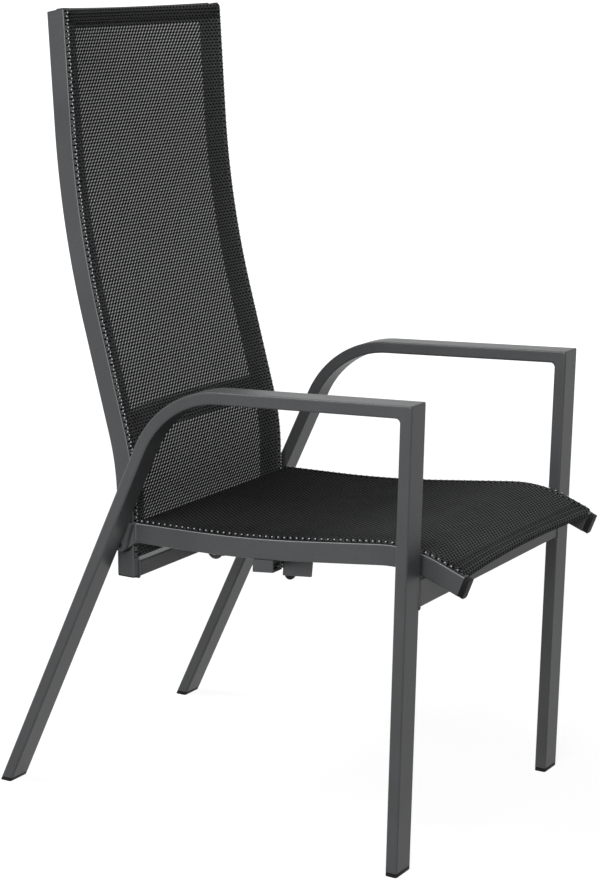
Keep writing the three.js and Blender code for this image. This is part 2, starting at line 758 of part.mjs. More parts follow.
// Recline hinge: a bracket welded to the rear leg and to the rail's end carries the hinge bolt.
// Its cheek is level with the rail's outer face, and its block fills the space out to the leg.
function addHinge(side, sign) {
  const seatOuterX = seatFrameWidth / 2;
  const backOuterX = backFrameWidth / 2;
  const cheekInner = seatOuterX - cheekThickness;
  const bracketOuter = frameInnerX - fitGap;
  const boltBore = pivotBoltRadius + fitGap;
  const onX = (from, to) => (sign > 0 ? [from, to] : [-to, -from]);

  const corner = (setback, z) => ({ y: seatRearReach + setback + bracketCorner, z, radius: bracketCorner });
  const top = seatRearHeight + railDepth / 2 - bracketCorner;
  const foot = seatRearHeight - railDepth / 2 + bracketCorner;
  const hinge = { y: pivotReach, z: pivotHeight, radius: bracketRadius };
  const onLeg = { ...legPoint(rearFoot, elbow, seatRearHeight), radius: bracketRadius };
  const cheek = beltOutline([corner(fitGap, top), corner(fitGap, foot), hinge]);
  const frontEdge = [corner(bracketTopSetback, top), corner(bracketFootSetback, foot)];
  const block = beltOutline([...frontEdge, hinge, onLeg]);
  const boreOutline = circleAt(pivotReach, pivotHeight, boltBore, THREE.Shape);
  const bore = plateAcross(boreOutline, ...onX(cheekInner - cutOverrun, bracketOuter + cutOverrun));
  const plates = joined(
    plateAcross(cheek, ...onX(cheekInner, seatOuterX)),
    plateAcross(block, ...onX(seatOuterX - cheekThickness / 2, bracketOuter)),
  );
  piece(`hinge_bracket_${side}`, cutFrom(plates, bore), powderCoat);

  const ring = circleAt(pivotReach, pivotHeight, pivotSpacerRadius, THREE.Shape);
  ring.holes.push(circleAt(pivotReach, pivotHeight, boltBore));
  const ringOuter = cheekInner - fitGap;
  piece(`hinge_spacer_${side}`, plateAcross(ring, ...onX(backOuterX + fitGap, ringOuter)), blackPlastic);

  const bush = circleAt(pivotReach, pivotHeight, boltBore + pivotBushWall, THREE.Shape);
  bush.holes.push(circleAt(pivotReach, pivotHeight, boltBore));
  piece(`hinge_bush_${side}`, plateAcross(bush, ...onX(backInnerX, backOuterX)), blackPlastic);

  const headEnd = backInnerX - fitGap;
  const headStart = headEnd - pivotBoltHeadLength;
  const shankEnd = bracketOuter - fitGap;
  const profile = [[0, headStart], [pivotBoltHeadRadius, headStart], [pivotBoltHeadRadius, headEnd],
    [pivotBoltRadius, headEnd], [pivotBoltRadius, shankEnd], [0, shankEnd]];
  const bolt = turnedAcross(profile, pivotReach, pivotHeight);
  if (sign < 0) bolt.rotateY(Math.PI).translate(0, 0, 2 * pivotHeight);
  piece(`hinge_bolt_${side}`, bolt, darkSteel);
}

// Mechanism tube: level at the rails and dropped in the middle
const mechanismHeight = seatLine.heightAt(mechanismReach) - mechanismDrop;

function addMechanismTube() {
  const half = seatRailInnerX - fitGap;
  const endZ = seatLine.heightAt(mechanismReach);
  const levelX = half * mechanismLevelShare;
  const bendX = levelX + half * mechanismSlopeShare;
  const oneSide = [[half, endZ], [bendX, endZ], [levelX, mechanismHeight]];
  const otherSide = oneSide.map(([x, z]) => [-x, z]);
  const corners = [...otherSide, ...oneSide.toReversed()].map(([x, z]) => at(x, mechanismReach, z));
  const path = new BentPath(corners, Array(4).fill(mechanismBendRadius), rearward);
  const section = roundTubeSection(mechanismRadius, railWall);
  piece('mechanism_tube', sweep(section, path, roundSteps / 2), powderCoat);
}

const strutFrontReach = mechanismReach - strutFrontSetback;
const strutFrontHeight = mechanismHeight - strutFrontDrop;
const strutRearReach = pivotReach - strutRearSetback;
const strutRearHeight = pivotHeight - strutRearDrop;
const strutRun = { y: strutRearReach - strutFrontReach, z: strutRearHeight - strutFrontHeight };
const strutLength = Math.hypot(strutRun.y, strutRun.z);
const strutTilt = Math.atan2(strutRun.z, strutRun.y);

function addEarPair(name, outline, innerX, material) {
  for (const [side, sign] of Object.entries(sides)) {
    const [from, to] = sign > 0 ? [innerX, innerX + earThickness] : [-innerX - earThickness, -innerX];
    piece(`${name}_${side}`, plateAcross(outline, from, to), material);
  }
}

function pinAcross(name, reach, height, halfWidth, parent = chair) {
  const [head, end] = [halfWidth + strutPinHeadLength, halfWidth];
  const shoulders = [[strutPinRadius, end], [strutPinHeadRadius, end]];
  const halfProfile = [...shoulders, [strutPinHeadRadius, head], [0, head]];
  const mirrored = halfProfile.map(([radius, x]) => [radius, -x]).toReversed();
  const profile = [...mirrored, ...halfProfile];
  piece(name, turnedAcross(profile, reach, height), brightSteel, parent);
}

function addStrutMounts() {
  const frontPin = { y: strutFrontReach, z: strutFrontHeight, radius: frontEarRadius };
  const tube = { y: mechanismReach, z: mechanismHeight, radius: mechanismRadius + frontEarCollar };
  const frontEar = beltOutline([frontPin, tube]);
  frontEar.holes.push(circleAt(frontPin.y, frontPin.z, strutPinRadius + fitGap));
  frontEar.holes.push(circleAt(tube.y, tube.z, mechanismRadius + fitGap));
  const frontInner = strutBarrelWidth / 2 + fitGap;
  addEarPair('strut_ear', frontEar, frontInner, darkSteel);
  pinAcross('strut_front_pin', strutFrontReach, strutFrontHeight, frontInner + earThickness + fitGap);

  const barFace = backReach - railDepth / 2 - fitGap - lugCorner;
  const barEdges = [bottomBarTop - bottomBarHeight + lugCorner, bottomBarTop - lugCorner];
  const onBar = barEdges.map((z) => ({ y: barFace, z, radius: lugCorner }));
  const lug = beltOutline([...onBar, { y: strutRearReach, z: strutRearHeight, radius: lugRadius }]);
  lug.holes.push(circleAt(strutRearReach, strutRearHeight, strutPinRadius + fitGap));
  const rearInner = strutEyeWidth / 2 + fitGap;
  addEarPair('back_lug', lug, rearInner, powderCoat);
  pinAcross('strut_rear_pin', strutRearReach, strutRearHeight, rearInner + earThickness + fitGap);
}

// Gas strut, built along +Y from its front pin and then tilted to rest
function addStrut() {
  const strut = new THREE.Group();
  strut.position.set(0, strutFrontReach, strutFrontHeight);
  strut.rotation.x = strutTilt;
  chair.add(strut);

  const barrel = circleAt(0, 0, strutBarrelRadius, THREE.Shape);
  const halfWidth = strutBarrelWidth / 2;
  const headX = valveHeadWidth / 2;
  const blockLow = at(-headX, -valveHeadLength, -valveHeadDepth);
  const block = box(blockLow, at(headX, -strutPinRadius - fitGap, valveHeadTop));
  const pinHole = circleAt(0, 0, strutPinRadius + fitGap, THREE.Shape);
  const pinBore = plateAcross(pinHole, -halfWidth - cutOverrun, halfWidth + cutOverrun);
  const boreBottom = -valveSink - valveTravel - fitGap;
  const valveBore = uprightRound(valveRadius + fitGap, boreBottom, valveHeadTop + cutOverrun, -valveSetback);
  const body = joined(plateAcross(barrel, -halfWidth, halfWidth), block);
  piece('strut_head', cutFrom(body, pinBore, valveBore), darkSteel, strut);
  piece('valve_pin', uprightRound(valveRadius, -valveSink, valveRise, -valveSetback), brightSteel, strut);

  const start = strutBarrelRadius + fitGap;
  const rodEnd = strutLength - strutEyeNeck - fitGap;
  const end = rodEnd - strutRodShown;
  const bore = strutRodRadius + fitGap;
  const floor = start + strutFloor;
  const outside = [[0, start], [strutCylinderRadius, start], [strutCylinderRadius, end]];
  const shell = [...outside, [bore, end], [bore, floor], [0, floor]];
  piece('strut_cylinder', turnedAlong(shell), darkSteel, strut);
  const rodStart = THREE.MathUtils.lerp(end, floor, strutRodInsetShare);
  const rod = [[0, rodStart], [strutRodRadius, rodStart], [strutRodRadius, rodEnd], [0, rodEnd]];
  piece('strut_rod', turnedAlong(rod), brightSteel, strut);
  addRodEye(strut);
}

function turnedAlong(profile) {
  return new THREE.LatheGeometry(profile.map(([radius, y]) => new THREE.Vector2(radius, y)), latheSteps);
}

function uprightRound(radius, bottom, top, reach) {
  const profile = [[0, bottom], [radius, bottom], [radius, top], [0, top]];
  return turnedAlong(profile).rotateX(quarterTurn).translate(0, reach, 0);
}

function addRodEye(strut) {
  const neck = { y: strutLength - strutEyeNeck + strutNeckRadius, z: 0, radius: strutNeckRadius };
  const eye = { y: strutLength, z: 0, radius: strutEyeRadius };
  const outline = beltOutline([neck, eye]);
  outline.holes.push(circleAt(strutLength, 0, strutEyeBore));
  piece('strut_rod_eye', plateAcross(outline, -strutEyeWidth / 2, strutEyeWidth / 2), darkSteel, strut);
}

// Release lever: a plate beside the seat rail, on a shaft that runs to the strut's head
const shaftReach = mechanismReach - shaftSetback;
const bearingFront = shaftReach - bearingAhead;
const bearingTop = seatRailBottomAt(bearingFront + bearingLength) - fitGap;
const shaftHeight = bearingTop - shaftDrop;
const shaftBore = (Outline) => circleAt(shaftReach, shaftHeight, shaftRadius + fitGap, Outline);
const shaftBoreCutter = (from, to) => plateAcross(shaftBore(THREE.Shape), from, to);

// The bearing block is welded under the rail, hollow and open to the front.
function bearingOutline() {
  const rear = bearingFront + bearingLength;
  const underRail = (y) => new THREE.Vector2(y, seatRailBottomAt(y) - fitGap);
  const frontFloor = new THREE.Vector2(bearingFront, shaftHeight - bearingBelowFront);
  const rearFloor = new THREE.Vector2(rear, shaftHeight - bearingBelowRear);
  return new THREE.Shape([frontFloor, rearFloor, underRail(rear), underRail(bearingFront)]);
}

function pocketOutline() {
  const [from, to] = [bearingFront - cutOverrun, bearingFront + bearingPocketDepth];
  const share = bearingPocketDepth / bearingLength;
  const floorEnd = THREE.MathUtils.lerp(bearingBelowFront, bearingBelowRear, share);
  const [low, lowEnd] = [bearingBelowFront, floorEnd].map((below) => shaftHeight - below + bearingFloor);
  const high = bearingTop - bearingFloor;
  const corners = [[from, low], [to, lowEnd], [to, high], [from, high]];
  return new THREE.Shape(corners.map(([y, z]) => new THREE.Vector2(y, z)));
}

function addRelease() {
  const bearingOuter = -seatFrameWidth / 2;
  const bearingInner = bearingOuter + bearingWidth;
  const blindEnd = bearingInner - bearingBoreDepth;
  const blindBore = shaftBoreCutter(blindEnd, bearingInner + cutOverrun);
  const block = plateAcross(bearingOutline(), bearingOuter, bearingInner);
  const pocketInner = bearingInner - bearingInnerWall;
  const pocket = plateAcross(pocketOutline(), bearingOuter + bearingOuterWall, pocketInner);
  piece('lever_bearing_block', cutFrom(block, pocket, blindBore), powderCoat);
  const shaft = circleAt(shaftReach, shaftHeight, shaftRadius, THREE.Shape);
  piece('release_shaft', plateAcross(shaft, blindEnd + fitGap, shaftInnerEnd), darkSteel);

  addLever(bearingOuter + leverInset);
  const hub = { y: shaftReach, z: shaftHeight, radius: leverHubRadius };
  const valveTop = at(0, -valveSetback, valveRise).applyAxisAngle(across, strutTilt);
  const tip = {
    y: strutFrontReach + valveTop.y,
    z: strutFrontHeight + valveTop.z + fingerTipRadius + fingerGap,
    radius: fingerTipRadius,
  };
  const finger = beltOutline([hub, tip]);
  finger.holes.push(shaftBore());
  piece('release_finger', plateAcross(finger, -fingerThickness / 2, fingerThickness / 2), darkSteel);

  const tube = { y: mechanismReach, z: mechanismHeight, radius: mechanismRadius + frontEarCollar };
  const ear = beltOutline([hub, tube]);
  ear.holes.push(shaftBore());
  ear.holes.push(circleAt(mechanismReach, mechanismHeight, mechanismRadius + fitGap));
  piece('shaft_ear', plateAcross(ear, shaftEarOffset, shaftEarOffset + earThickness), darkSteel);
}

// The lever's plate is tilted up to the front, with a neck to the shaft and a bumper behind it.
function addLever(outerX) {
  const innerX = outerX + leverThickness;
  const tilt = radians(leverTiltDegrees);
  const spot = (ahead, below, radius) => ({
    y: shaftReach - ahead * Math.cos(tilt) + below * Math.sin(tilt),
    z: shaftHeight + ahead * Math.sin(tilt) - below * Math.cos(tilt),
    radius,
  });
  const [ahead, heel] = [leverAhead - leverCorner, leverHeel + leverCorner];
  const [above, below] = [leverCorner - leverAbove, leverBelow - leverCorner];
  const corners = [[ahead, above], [heel, above], [ahead, below], [heel, below]];
  const plate = beltOutline(corners.map(([forward, down]) => spot(forward, down, leverCorner)));
  const hub = { y: shaftReach, z: shaftHeight, radius: leverHubRadius };
  const neck = beltOutline([hub, spot(2 * leverHubRadius, leverHubRadius, leverHubRadius / 2)]);
  const hole = shaftBoreCutter(outerX - cutOverrun, innerX + cutOverrun);
  const whole = joined(plateAcross(plate, outerX, innerX), plateAcross(neck, outerX, innerX));
  piece('release_lever', cutFrom(whole, hole), powderCoat);
  const bumper = circleAt(shaftReach - bumperAhead, shaftHeight - bumperBelow, bumperRadius, THREE.Shape);
  piece('lever_bumper', plateAcross(bumper, innerX + fitGap, innerX + fitGap + bumperLength), blackPlastic);
}

for (const [side, sign] of Object.entries(sides)) {
  addSideFrame(side, sign);
  addSeatRail(side, sign);
  addBackRail(side, sign);
  addHinge(side, sign);
}
addFrontCrossTube();
addSeatBars();
addSeatSling();
addBackBars();
addBackSling();
addMechanismTube();
addStrutMounts();
addStrut();
addRelease();

// The origin is under the middle of the chair, on the floor.
const bounds = new THREE.Box3().setFromObject(chair, true);
const middle = bounds.getCenter(new THREE.Vector3());
chair.position.set(-middle.x, -middle.y, -bounds.min.z);

const group = new THREE.Group();
group.add(chair);

export default group;
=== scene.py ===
import json
import math

import bmesh
import bpy
import numpy as np
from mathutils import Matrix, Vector


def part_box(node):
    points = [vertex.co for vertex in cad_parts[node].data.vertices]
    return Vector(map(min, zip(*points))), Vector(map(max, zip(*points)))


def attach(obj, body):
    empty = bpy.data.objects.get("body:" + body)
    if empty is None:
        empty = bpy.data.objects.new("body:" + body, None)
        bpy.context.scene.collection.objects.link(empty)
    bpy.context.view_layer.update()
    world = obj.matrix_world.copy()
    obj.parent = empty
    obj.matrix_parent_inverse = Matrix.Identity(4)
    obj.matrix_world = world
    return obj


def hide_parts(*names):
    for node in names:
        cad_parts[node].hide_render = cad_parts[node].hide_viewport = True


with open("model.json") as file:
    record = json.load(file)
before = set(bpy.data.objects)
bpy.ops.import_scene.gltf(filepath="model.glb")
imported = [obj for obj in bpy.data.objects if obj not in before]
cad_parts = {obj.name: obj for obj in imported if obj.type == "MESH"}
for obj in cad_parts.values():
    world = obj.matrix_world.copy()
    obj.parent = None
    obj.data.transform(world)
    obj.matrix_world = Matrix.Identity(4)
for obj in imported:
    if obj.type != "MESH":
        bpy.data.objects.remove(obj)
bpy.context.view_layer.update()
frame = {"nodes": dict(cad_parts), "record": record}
nodes = frame["nodes"]

# the chair's own axes: x across with the lever's side at -x, y from the front legs to the rear, z up
across = np.array([1.0, 0.0, 0.0])
rearward = np.array([0.0, 1.0, 0.0])
upward = np.array([0.0, 0.0, 1.0])
sides = {"left": 1, "right": -1}
fitGap = 0.0003
stationGap = {"tube": 0.04, "bar": 0.05, "rail": 0.03}  # furthest apart along a plain piece
frontToMiddle = 0.323889  # from the front of the arms to the middle of the chair's box


def say(text):
    print("stage:", text, flush=True)


def place(x, y, z):
    # a point given from the front of the arms, moved to the frame's own origin
    return np.array([x, y - frontToMiddle, z])


def unit(vector):
    return vector / np.linalg.norm(vector, axis=-1, keepdims=True)


def clamp(values):
    return np.clip(values, 0, 1)


def linked(name, data):
    obj = bpy.data.objects.new(name, data)
    bpy.context.scene.collection.objects.link(obj)
    return obj


def bentPath(corners, radii, side, startPlane=None, endPlane=None, arcSteps=24):
    # straight runs joined by arcs: each corner is rounded by a circle that touches both runs. Every station
    # has a way along the path and a rise square to it, and a cut plane shears its station's rise
    corners = [np.asarray(corner, float) for corner in corners]
    ways = [unit(b - a) for a, b in zip(corners, corners[1:])]
    points, headings = [corners[0][None]], [ways[0][None]]
    for corner, before, after, radius in zip(corners[1:], ways, ways[1:], radii):
        turn = math.acos(np.clip(before @ after, -1, 1))
        axis = unit(np.cross(before, after))
        start = corner - before * radius * math.tan(turn / 2)
        inward = np.cross(axis, before)
        angle = np.linspace(0, turn, arcSteps + 1)[:, None]
        points.append(start + radius * (np.sin(angle) * before + (1 - np.cos(angle)) * inward))
        headings.append(np.cos(angle) * before + np.sin(angle) * inward)
    points.append(corners[-1][None])
    headings.append(ways[-1][None])
    points, headings = np.vstack(points), np.vstack(headings)
    rises = np.cross(headings, side)
    for index, plane in ((0, startPlane), (-1, endPlane)):
        if plane is not None:
            rises[index] = np.cross(plane, side) / (plane @ headings[index])
    return {"points": points, "ways": headings, "rises": rises, "side": np.asarray(side, float)}


def lengthsAlong(points):
    return np.concatenate([[0], np.cumsum(np.linalg.norm(np.diff(points, axis=0), axis=1))])


def readAlong(values, places, wanted):
    # each column of the values, known at the places, read at the wanted places by straight interpolation
    return np.stack([np.interp(wanted, places, values[:, i]) for i in range(values.shape[1])], 1)


def resample(path, spacing):
    # the same path with stations no further apart than the spacing
    along = lengthsAlong(path["points"])
    count = int(math.ceil(along[-1] / spacing)) + 1
    wanted = np.union1d(along, np.linspace(0, along[-1], count))
    wanted = wanted[np.concatenate([[True], np.diff(wanted) > 1e-6])]
    out = {key: readAlong(path[key], along, wanted) for key in ("points", "ways", "rises")}
    return {**out, "side": path["side"], "along": wanted}


def roundedSection(width, height, corner, steps=5, hold=0.0006):
    # a rounded rectangle: quarter circles at the corners, with a point just past both ends of each so that
    # the flats stay flat when they are shaded smooth
    hold = min(hold, (min(width, height) / 2 - corner) * 0.45)
    turns = np.linspace(0, math.pi / 2, steps + 1)
    rows = []
    for quarter, (signX, signY) in enumerate([(1, -1), (1, 1), (-1, 1), (-1, -1)]):
        centre = np.array([signX * (width / 2 - corner), signY * (height / 2 - corner)])
        angles = turns + (quarter - 1) * math.pi / 2
        arc = centre + corner * np.stack([np.cos(angles), np.sin(angles)], 1)
        ahead = np.array([-math.sin(angles[-1]), math.cos(angles[-1])])
        behind = -np.array([-math.sin(angles[0]), math.cos(angles[0])])
        rows += [arc[:1] + behind * hold, arc, arc[-1:] + ahead * hold]
    return np.vstack(rows)


def gridFaces(rows, columns, wrap=False):
    # quads of a grid of points, row by row, and round again to the first column where it wraps
    last = columns if wrap else columns - 1
    r, c = np.meshgrid(np.arange(rows - 1), np.arange(last), indexing="ij")
    right = (c + 1) % columns
    corners = [r * columns + c, r * columns + right, (r + 1) * columns + right, (r + 1) * columns + c]
    return np.stack(corners, -1).reshape(-1, 4)


def meshFrom(name, points, faces, uv=None, sharp=35, ends=()):
    # a mesh object from a list of points, a table of quads and any larger end faces
    mesh = bpy.data.meshes.new(name)
    mesh.from_pydata(points.tolist(), [], faces.tolist() + [list(end) for end in ends])
    if uv is not None:
        layer = mesh.uv_layers.new(name="cloth")
        loops = np.empty(len(mesh.loops), int)
        mesh.loops.foreach_get("vertex_index", loops)
        layer.data.foreach_set("uv", uv[loops].astype(np.float32).ravel())
    mesh.shade_smooth()
    mesh.set_sharp_from_angle(angle=math.radians(sharp))
    mesh.validate()
    return linked(name, mesh)


def sweptGrid(section, path):
    # rows of the section's points: point = station + across-part * side + up-part * rise
    return (path["points"][:, None] + section[None, :, :1] * path["side"]
            + section[None, :, 1:] * path["rises"][:, None])


def meshOfGrid(name, grid, sharp=35, loop=False):
    # a closed skin over rows of points: each row is a ring, and the rows end in a face or meet in a loop
    rows, columns = grid.shape[:2]
    first, last = np.arange(columns)[::-1], (rows - 1) * columns + np.arange(columns)
    faces = gridFaces(rows, columns, wrap=True)
    if loop:
        after = np.roll(np.arange(columns), -1)
        closing = [last, last[after], np.arange(columns)[after], np.arange(columns)]
        faces = np.vstack([faces, np.stack(closing, -1)])
    obj = meshFrom(name, grid.reshape(-1, 3), faces, sharp=sharp, ends=() if loop else (first, last))
    work = bmesh.new()
    work.from_mesh(obj.data)
    bmesh.ops.recalc_face_normals(work, faces=work.faces)
    work.to_mesh(obj.data)
    work.free()
    return obj


def sweep(name, section, path):
    # a section carried along a path, as a closed skin
    return meshOfGrid(name, sweptGrid(section, path))


def narrowUpward(obj):
    # the back gets narrower towards its top: x * (1 - loss * (z - hinge) / (top - hinge))
    hinge, top = backFrame["hingeHeight"], backMiddle[-1][2]
    points = np.empty(len(obj.data.vertices) * 3, np.float32)
    obj.data.vertices.foreach_get("co", points)
    points = points.reshape(-1, 3)
    points[:, 0] *= 1 - backFrame["loss"] * (points[:, 2] - hinge) / (top - hinge)
    obj.data.vertices.foreach_set("co", points.ravel())
    obj.data.update()


def finishPiece(obj, body, material, replaced=(), modelled=True):
    # gives a piece its material and its body, and hides the CAD nodes that it stands for
    if body == "backrest" and modelled:
        narrowUpward(obj)
    obj.data.materials.clear()
    obj.data.materials.append(material)
    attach(obj, body)
    if replaced:
        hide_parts(*replaced)
    return obj


def bothWays(operation):
    # what value + other does, and what other + value does
    return (lambda value, other: value.finish.maths(operation, value, other),
            lambda value, other: value.finish.maths(operation, other, value))


class Value:
    # a socket that takes part in sums, so that 1 - mask * 0.5 adds the Math nodes for it
    __add__, __radd__ = bothWays("ADD")
    __sub__, __rsub__ = bothWays("SUBTRACT")
    __mul__, __rmul__ = bothWays("MULTIPLY")
    __truediv__, __rtruediv__ = bothWays("DIVIDE")

    def __init__(self, finish, socket):
        self.finish, self.socket = finish, socket


class Finish:
    # a material under construction, with one method for any node

    def __init__(self, name, tree=None):
        if tree:
            self.tree = tree  # the world's own nodes
            return
        self.material = bpy.data.materials.new(name)
        self.material.use_nodes = True
        self.tree = self.material.node_tree
        self.shader = self.tree.nodes["Principled BSDF"]

    def put(self, value, socket):
        if isinstance(value, Value):
            self.tree.links.new(value.socket, socket)
        elif value is not None:
            socket.default_value = value

    def node(self, kind, settings=None, inputs=(), output=0):
        node = self.tree.nodes.new(kind)
        for key, value in (settings or {}).items():
            if key == "stops":
                ramp = node.color_ramp
                while len(ramp.elements) < len(value):
                    ramp.elements.new(0.5)
                for element, (position, colour) in zip(ramp.elements, value):
                    element.position, element.color = position, colour
            else:
                setattr(node, key, value)
        pairs = inputs.items() if isinstance(inputs, dict) else enumerate(inputs)
        for key, value in pairs:
            self.put(value, node.inputs[key])
        return Value(self, node.outputs[output])

    def set(self, **values):
        for name, value in values.items():
            self.put(value, self.shader.inputs[name.replace("_", " ")])
        return self

    def maths(self, operation, *values):
        return self.node("ShaderNodeMath", {"operation": operation}, values)

    def smooth(self, value, low, high):
        # 0 below low and 1 above high, with a soft turn between them
        inputs = {"Value": value, "From Min": low, "From Max": high}
        return self.node("ShaderNodeMapRange", {"interpolation_type": "SMOOTHSTEP"}, inputs)

    def objectPlace(self):
        return self.node("ShaderNodeTexCoord", output="Object")

    def noise(self, vector, scale, detail=3, roughness=0.55):
        inputs = {"Vector": vector, "Scale": scale, "Detail": detail, "Roughness": roughness}
        return self.node("ShaderNodeTexNoise", inputs=inputs)

    def mixColours(self, share, first, second):
        # the sockets of a colour mix are its 0th, 6th and 7th
        return self.node("ShaderNodeMix", {"data_type": "RGBA"}, {0: share, 6: first, 7: second}, output=2)

    def bump(self, height, distance):
        return self.node("ShaderNodeBump", inputs={"Strength": 1.0, "Distance": distance, "Height": height})


def grey(level, tint=(1, 1, 1)):
    return (level * tint[0], level * tint[1], level * tint[2], 1)


studio = {
    "cameraPlace": (-2.688391, -1.345499, 1.240542),  # from the front of the arms
    "azimuth": -58.083,
    "elevation": 12.676,
    "focalPixels": 2189.476,
    "longSidePixels": 881,
    "sensorMillimetres": 36,
    "farthest": 300,  # that the camera sees
    "worldLevel": 0.15,  # what lights the object, while the camera and reflections see white
    "floorLevel": 0.22,
    "floorReach": 60,
    "floorGlow": 0.90,  # what the camera sees near the chair, rising to white further away
    "floorGlowRise": 0.30,
    "floorGlowFrom": 1.2, "floorGlowTo": 4.5,
}
lights = {  # each one's place, the point that it faces, its size and its power
    "key": ((-3.7, -1.0, 2.3), (0, 0, 0.6), (2.2, 2.2), 118),
    "top": ((-0.8, 1.4, 3.3), (0, 0, 0.5), (1.7, 1.1), 62),
    "strip": ((-2.1, -3.3, 0.75), (0, 0, 0.6), (0.3, 1.5), 7),
}


def aimed(obj, where, way):
    obj.location = where
    obj.rotation_mode = "QUATERNION"
    obj.rotation_quaternion = way.to_track_quat("-Z", "Y")
    return obj


def addCamera():
    camera = bpy.data.cameras.new("camera")
    camera.sensor_width = studio["sensorMillimetres"]
    camera.lens = studio["focalPixels"] * camera.sensor_width / studio["longSidePixels"]
    camera.clip_end = studio["farthest"]
    azimuth, elevation = math.radians(studio["azimuth"]), math.radians(studio["elevation"])
    back = Vector((math.sin(azimuth) * math.cos(elevation), -math.cos(azimuth) * math.cos(elevation),
                   math.sin(elevation)))
    bpy.context.scene.camera = aimed(linked("camera", camera), place(*studio["cameraPlace"]), -back)


def seenDirectly(finish):
    # 1 for what the camera sees itself or in a reflection or through glass, and 0 for light on the object
    kinds = ("Camera", "Glossy", "Transmission")
    camera, glossy, through = (finish.node("ShaderNodeLightPath", output=f"Is {kind} Ray") for kind in kinds)
    return finish.maths("MINIMUM", camera + glossy + through, 1.0)


def addWorld():
    scene = bpy.context.scene
    scene.view_settings.view_transform = "Standard"
    world = bpy.data.worlds.new("studio")
    scene.world = world
    world.use_nodes = True
    finish = Finish("studio", world.node_tree)
    level = studio["worldLevel"] + (1 - studio["worldLevel"]) * seenDirectly(finish)
    finish.put(level, finish.tree.nodes["Background"].inputs["Strength"])
    finish.tree.nodes["Background"].inputs["Color"].default_value = (1, 1, 1, 1)


def addFloor():
    corners = studio["floorReach"] * np.array([[-1, -1, 0], [1, -1, 0], [1, 1, 0], [-1, 1, 0]], float)
    floor = meshFrom("floor", corners, np.array([[0, 1, 2, 3]]))
    finish = Finish("floor")
    far = finish.node("ShaderNodeVectorMath", {"operation": "LENGTH"}, [finish.objectPlace()], output="Value")
    away = finish.smooth(far, studio["floorGlowFrom"], studio["floorGlowTo"])
    glow = studio["floorGlow"] + studio["floorGlowRise"] * away
    finish.set(Base_Color=grey(studio["floorLevel"]), Roughness=1.0, Specular_IOR_Level=0.0,
               Emission_Color=(1, 1, 1, 1))
    finish.put(glow * seenDirectly(finish), finish.shader.inputs["Emission Strength"])
    floor.data.materials.append(finish.material)


def addStudio():
    addWorld()
    addFloor()
    for name, (where, target, size, power) in lights.items():
        light = bpy.data.lights.new(name, "AREA")
        light.shape, light.energy = "RECTANGLE", power
        light.size, light.size_y = size
        aimed(linked(name, light), where, Vector(target) - Vector(where))


coat = {
    "level": 0.070,
    "specular": 0.28,
    "tint": (0.975, 1.0, 1.035),
    "roughness": 0.38,
    "grain": 0.00007,
    "cloudScale": 9, "fleckScale": 1400, "peelScale": 560, "scuffScale": 38,
    "scuffFrom": 0.64, "scuffTo": 0.76,
    "fleckContrast": 0.22,
    "weldLevel": 1.25, "weldGrain": 3,  # times those of the tubes
    # painted highlight: the coat levels of the thin strips along the rails' outer corners
    "highlightLevels": {"frame": 0.34, "backrest": 0.24},
}


def makeCoat(name, level, grain=coat["grain"]):
    # powder coat: flecks of lighter and darker grey, an orange-peel surface and faint scuffs
    finish = Finish(name)
    spot = finish.objectPlace()
    cloud = finish.noise(spot, coat["cloudScale"], 3)
    fleck = finish.noise(spot, coat["fleckScale"], 2)
    peel = finish.noise(spot, coat["peelScale"], 2)
    scuff = finish.smooth(finish.noise(spot, coat["scuffScale"], 5, 0.7), coat["scuffFrom"], coat["scuffTo"])
    light = cloud * 0.35 + fleck * 0.65
    spread = coat["fleckContrast"]
    ramp = finish.node("ShaderNodeValToRGB", {"stops": [
        (0.34, grey(level * (1 - spread), coat["tint"])), (0.5, grey(level, coat["tint"])),
        (0.66, grey(level * (1 + spread * 1.4), coat["tint"]))]}, [light])
    finish.set(Base_Color=ramp, Roughness=coat["roughness"] + 0.10 * (cloud - 0.5) + 0.08 * scuff,
               Specular_IOR_Level=coat["specular"], Normal=finish.bump(peel + 0.4 * fleck, grain))
    return finish.material


plastic = {"level": 0.004, "roughness": 0.5, "specular": 0.16, "grain": 0.00010,
           "grainScale": 1100, "cloudScale": 45}


def makePlastic():
    # moulded black plastic: fine matt grain with a slight gloss that varies
    finish = Finish("blackPlastic")
    spot = finish.objectPlace()
    grain = finish.noise(spot, plastic["grainScale"], 3)
    cloud = finish.noise(spot, plastic["cloudScale"], 4)
    colour = finish.mixColours(cloud, grey(plastic["level"] * 0.7), grey(plastic["level"] * 1.5))
    finish.set(Base_Color=colour, Roughness=plastic["roughness"] + 0.18 * cloud,
               Specular_IOR_Level=plastic["specular"], Normal=finish.bump(grain, plastic["grain"]))
    return finish.material


steel = {  # dark and bright: level, roughness and how metallic
    "dark": (0.02, 0.42, 0.0), "bright": (0.55, 0.28, 0.9),
    "ringScale": (40, 900, 40), "cloudScale": 30, "grain": 0.00003,
}


def makeSteel(name, level, roughness, metallic):
    # turned or enamelled steel: fine rings across the piece and a little unevenness
    finish = Finish(name)
    spot = finish.objectPlace()
    stretched = finish.node("ShaderNodeMapping", inputs={"Vector": spot, "Scale": steel["ringScale"]})
    rings = finish.noise(stretched, 1, 3)
    cloud = finish.noise(spot, steel["cloudScale"], 3)
    share = 0.6 * rings + 0.4 * cloud
    colour = finish.mixColours(share, grey(level * 0.75), grey(level * 1.2))
    finish.set(Base_Color=colour, Metallic=metallic, Roughness=roughness + 0.2 * (cloud - 0.5),
               Normal=finish.bump(rings, steel["grain"]))
    return finish.material


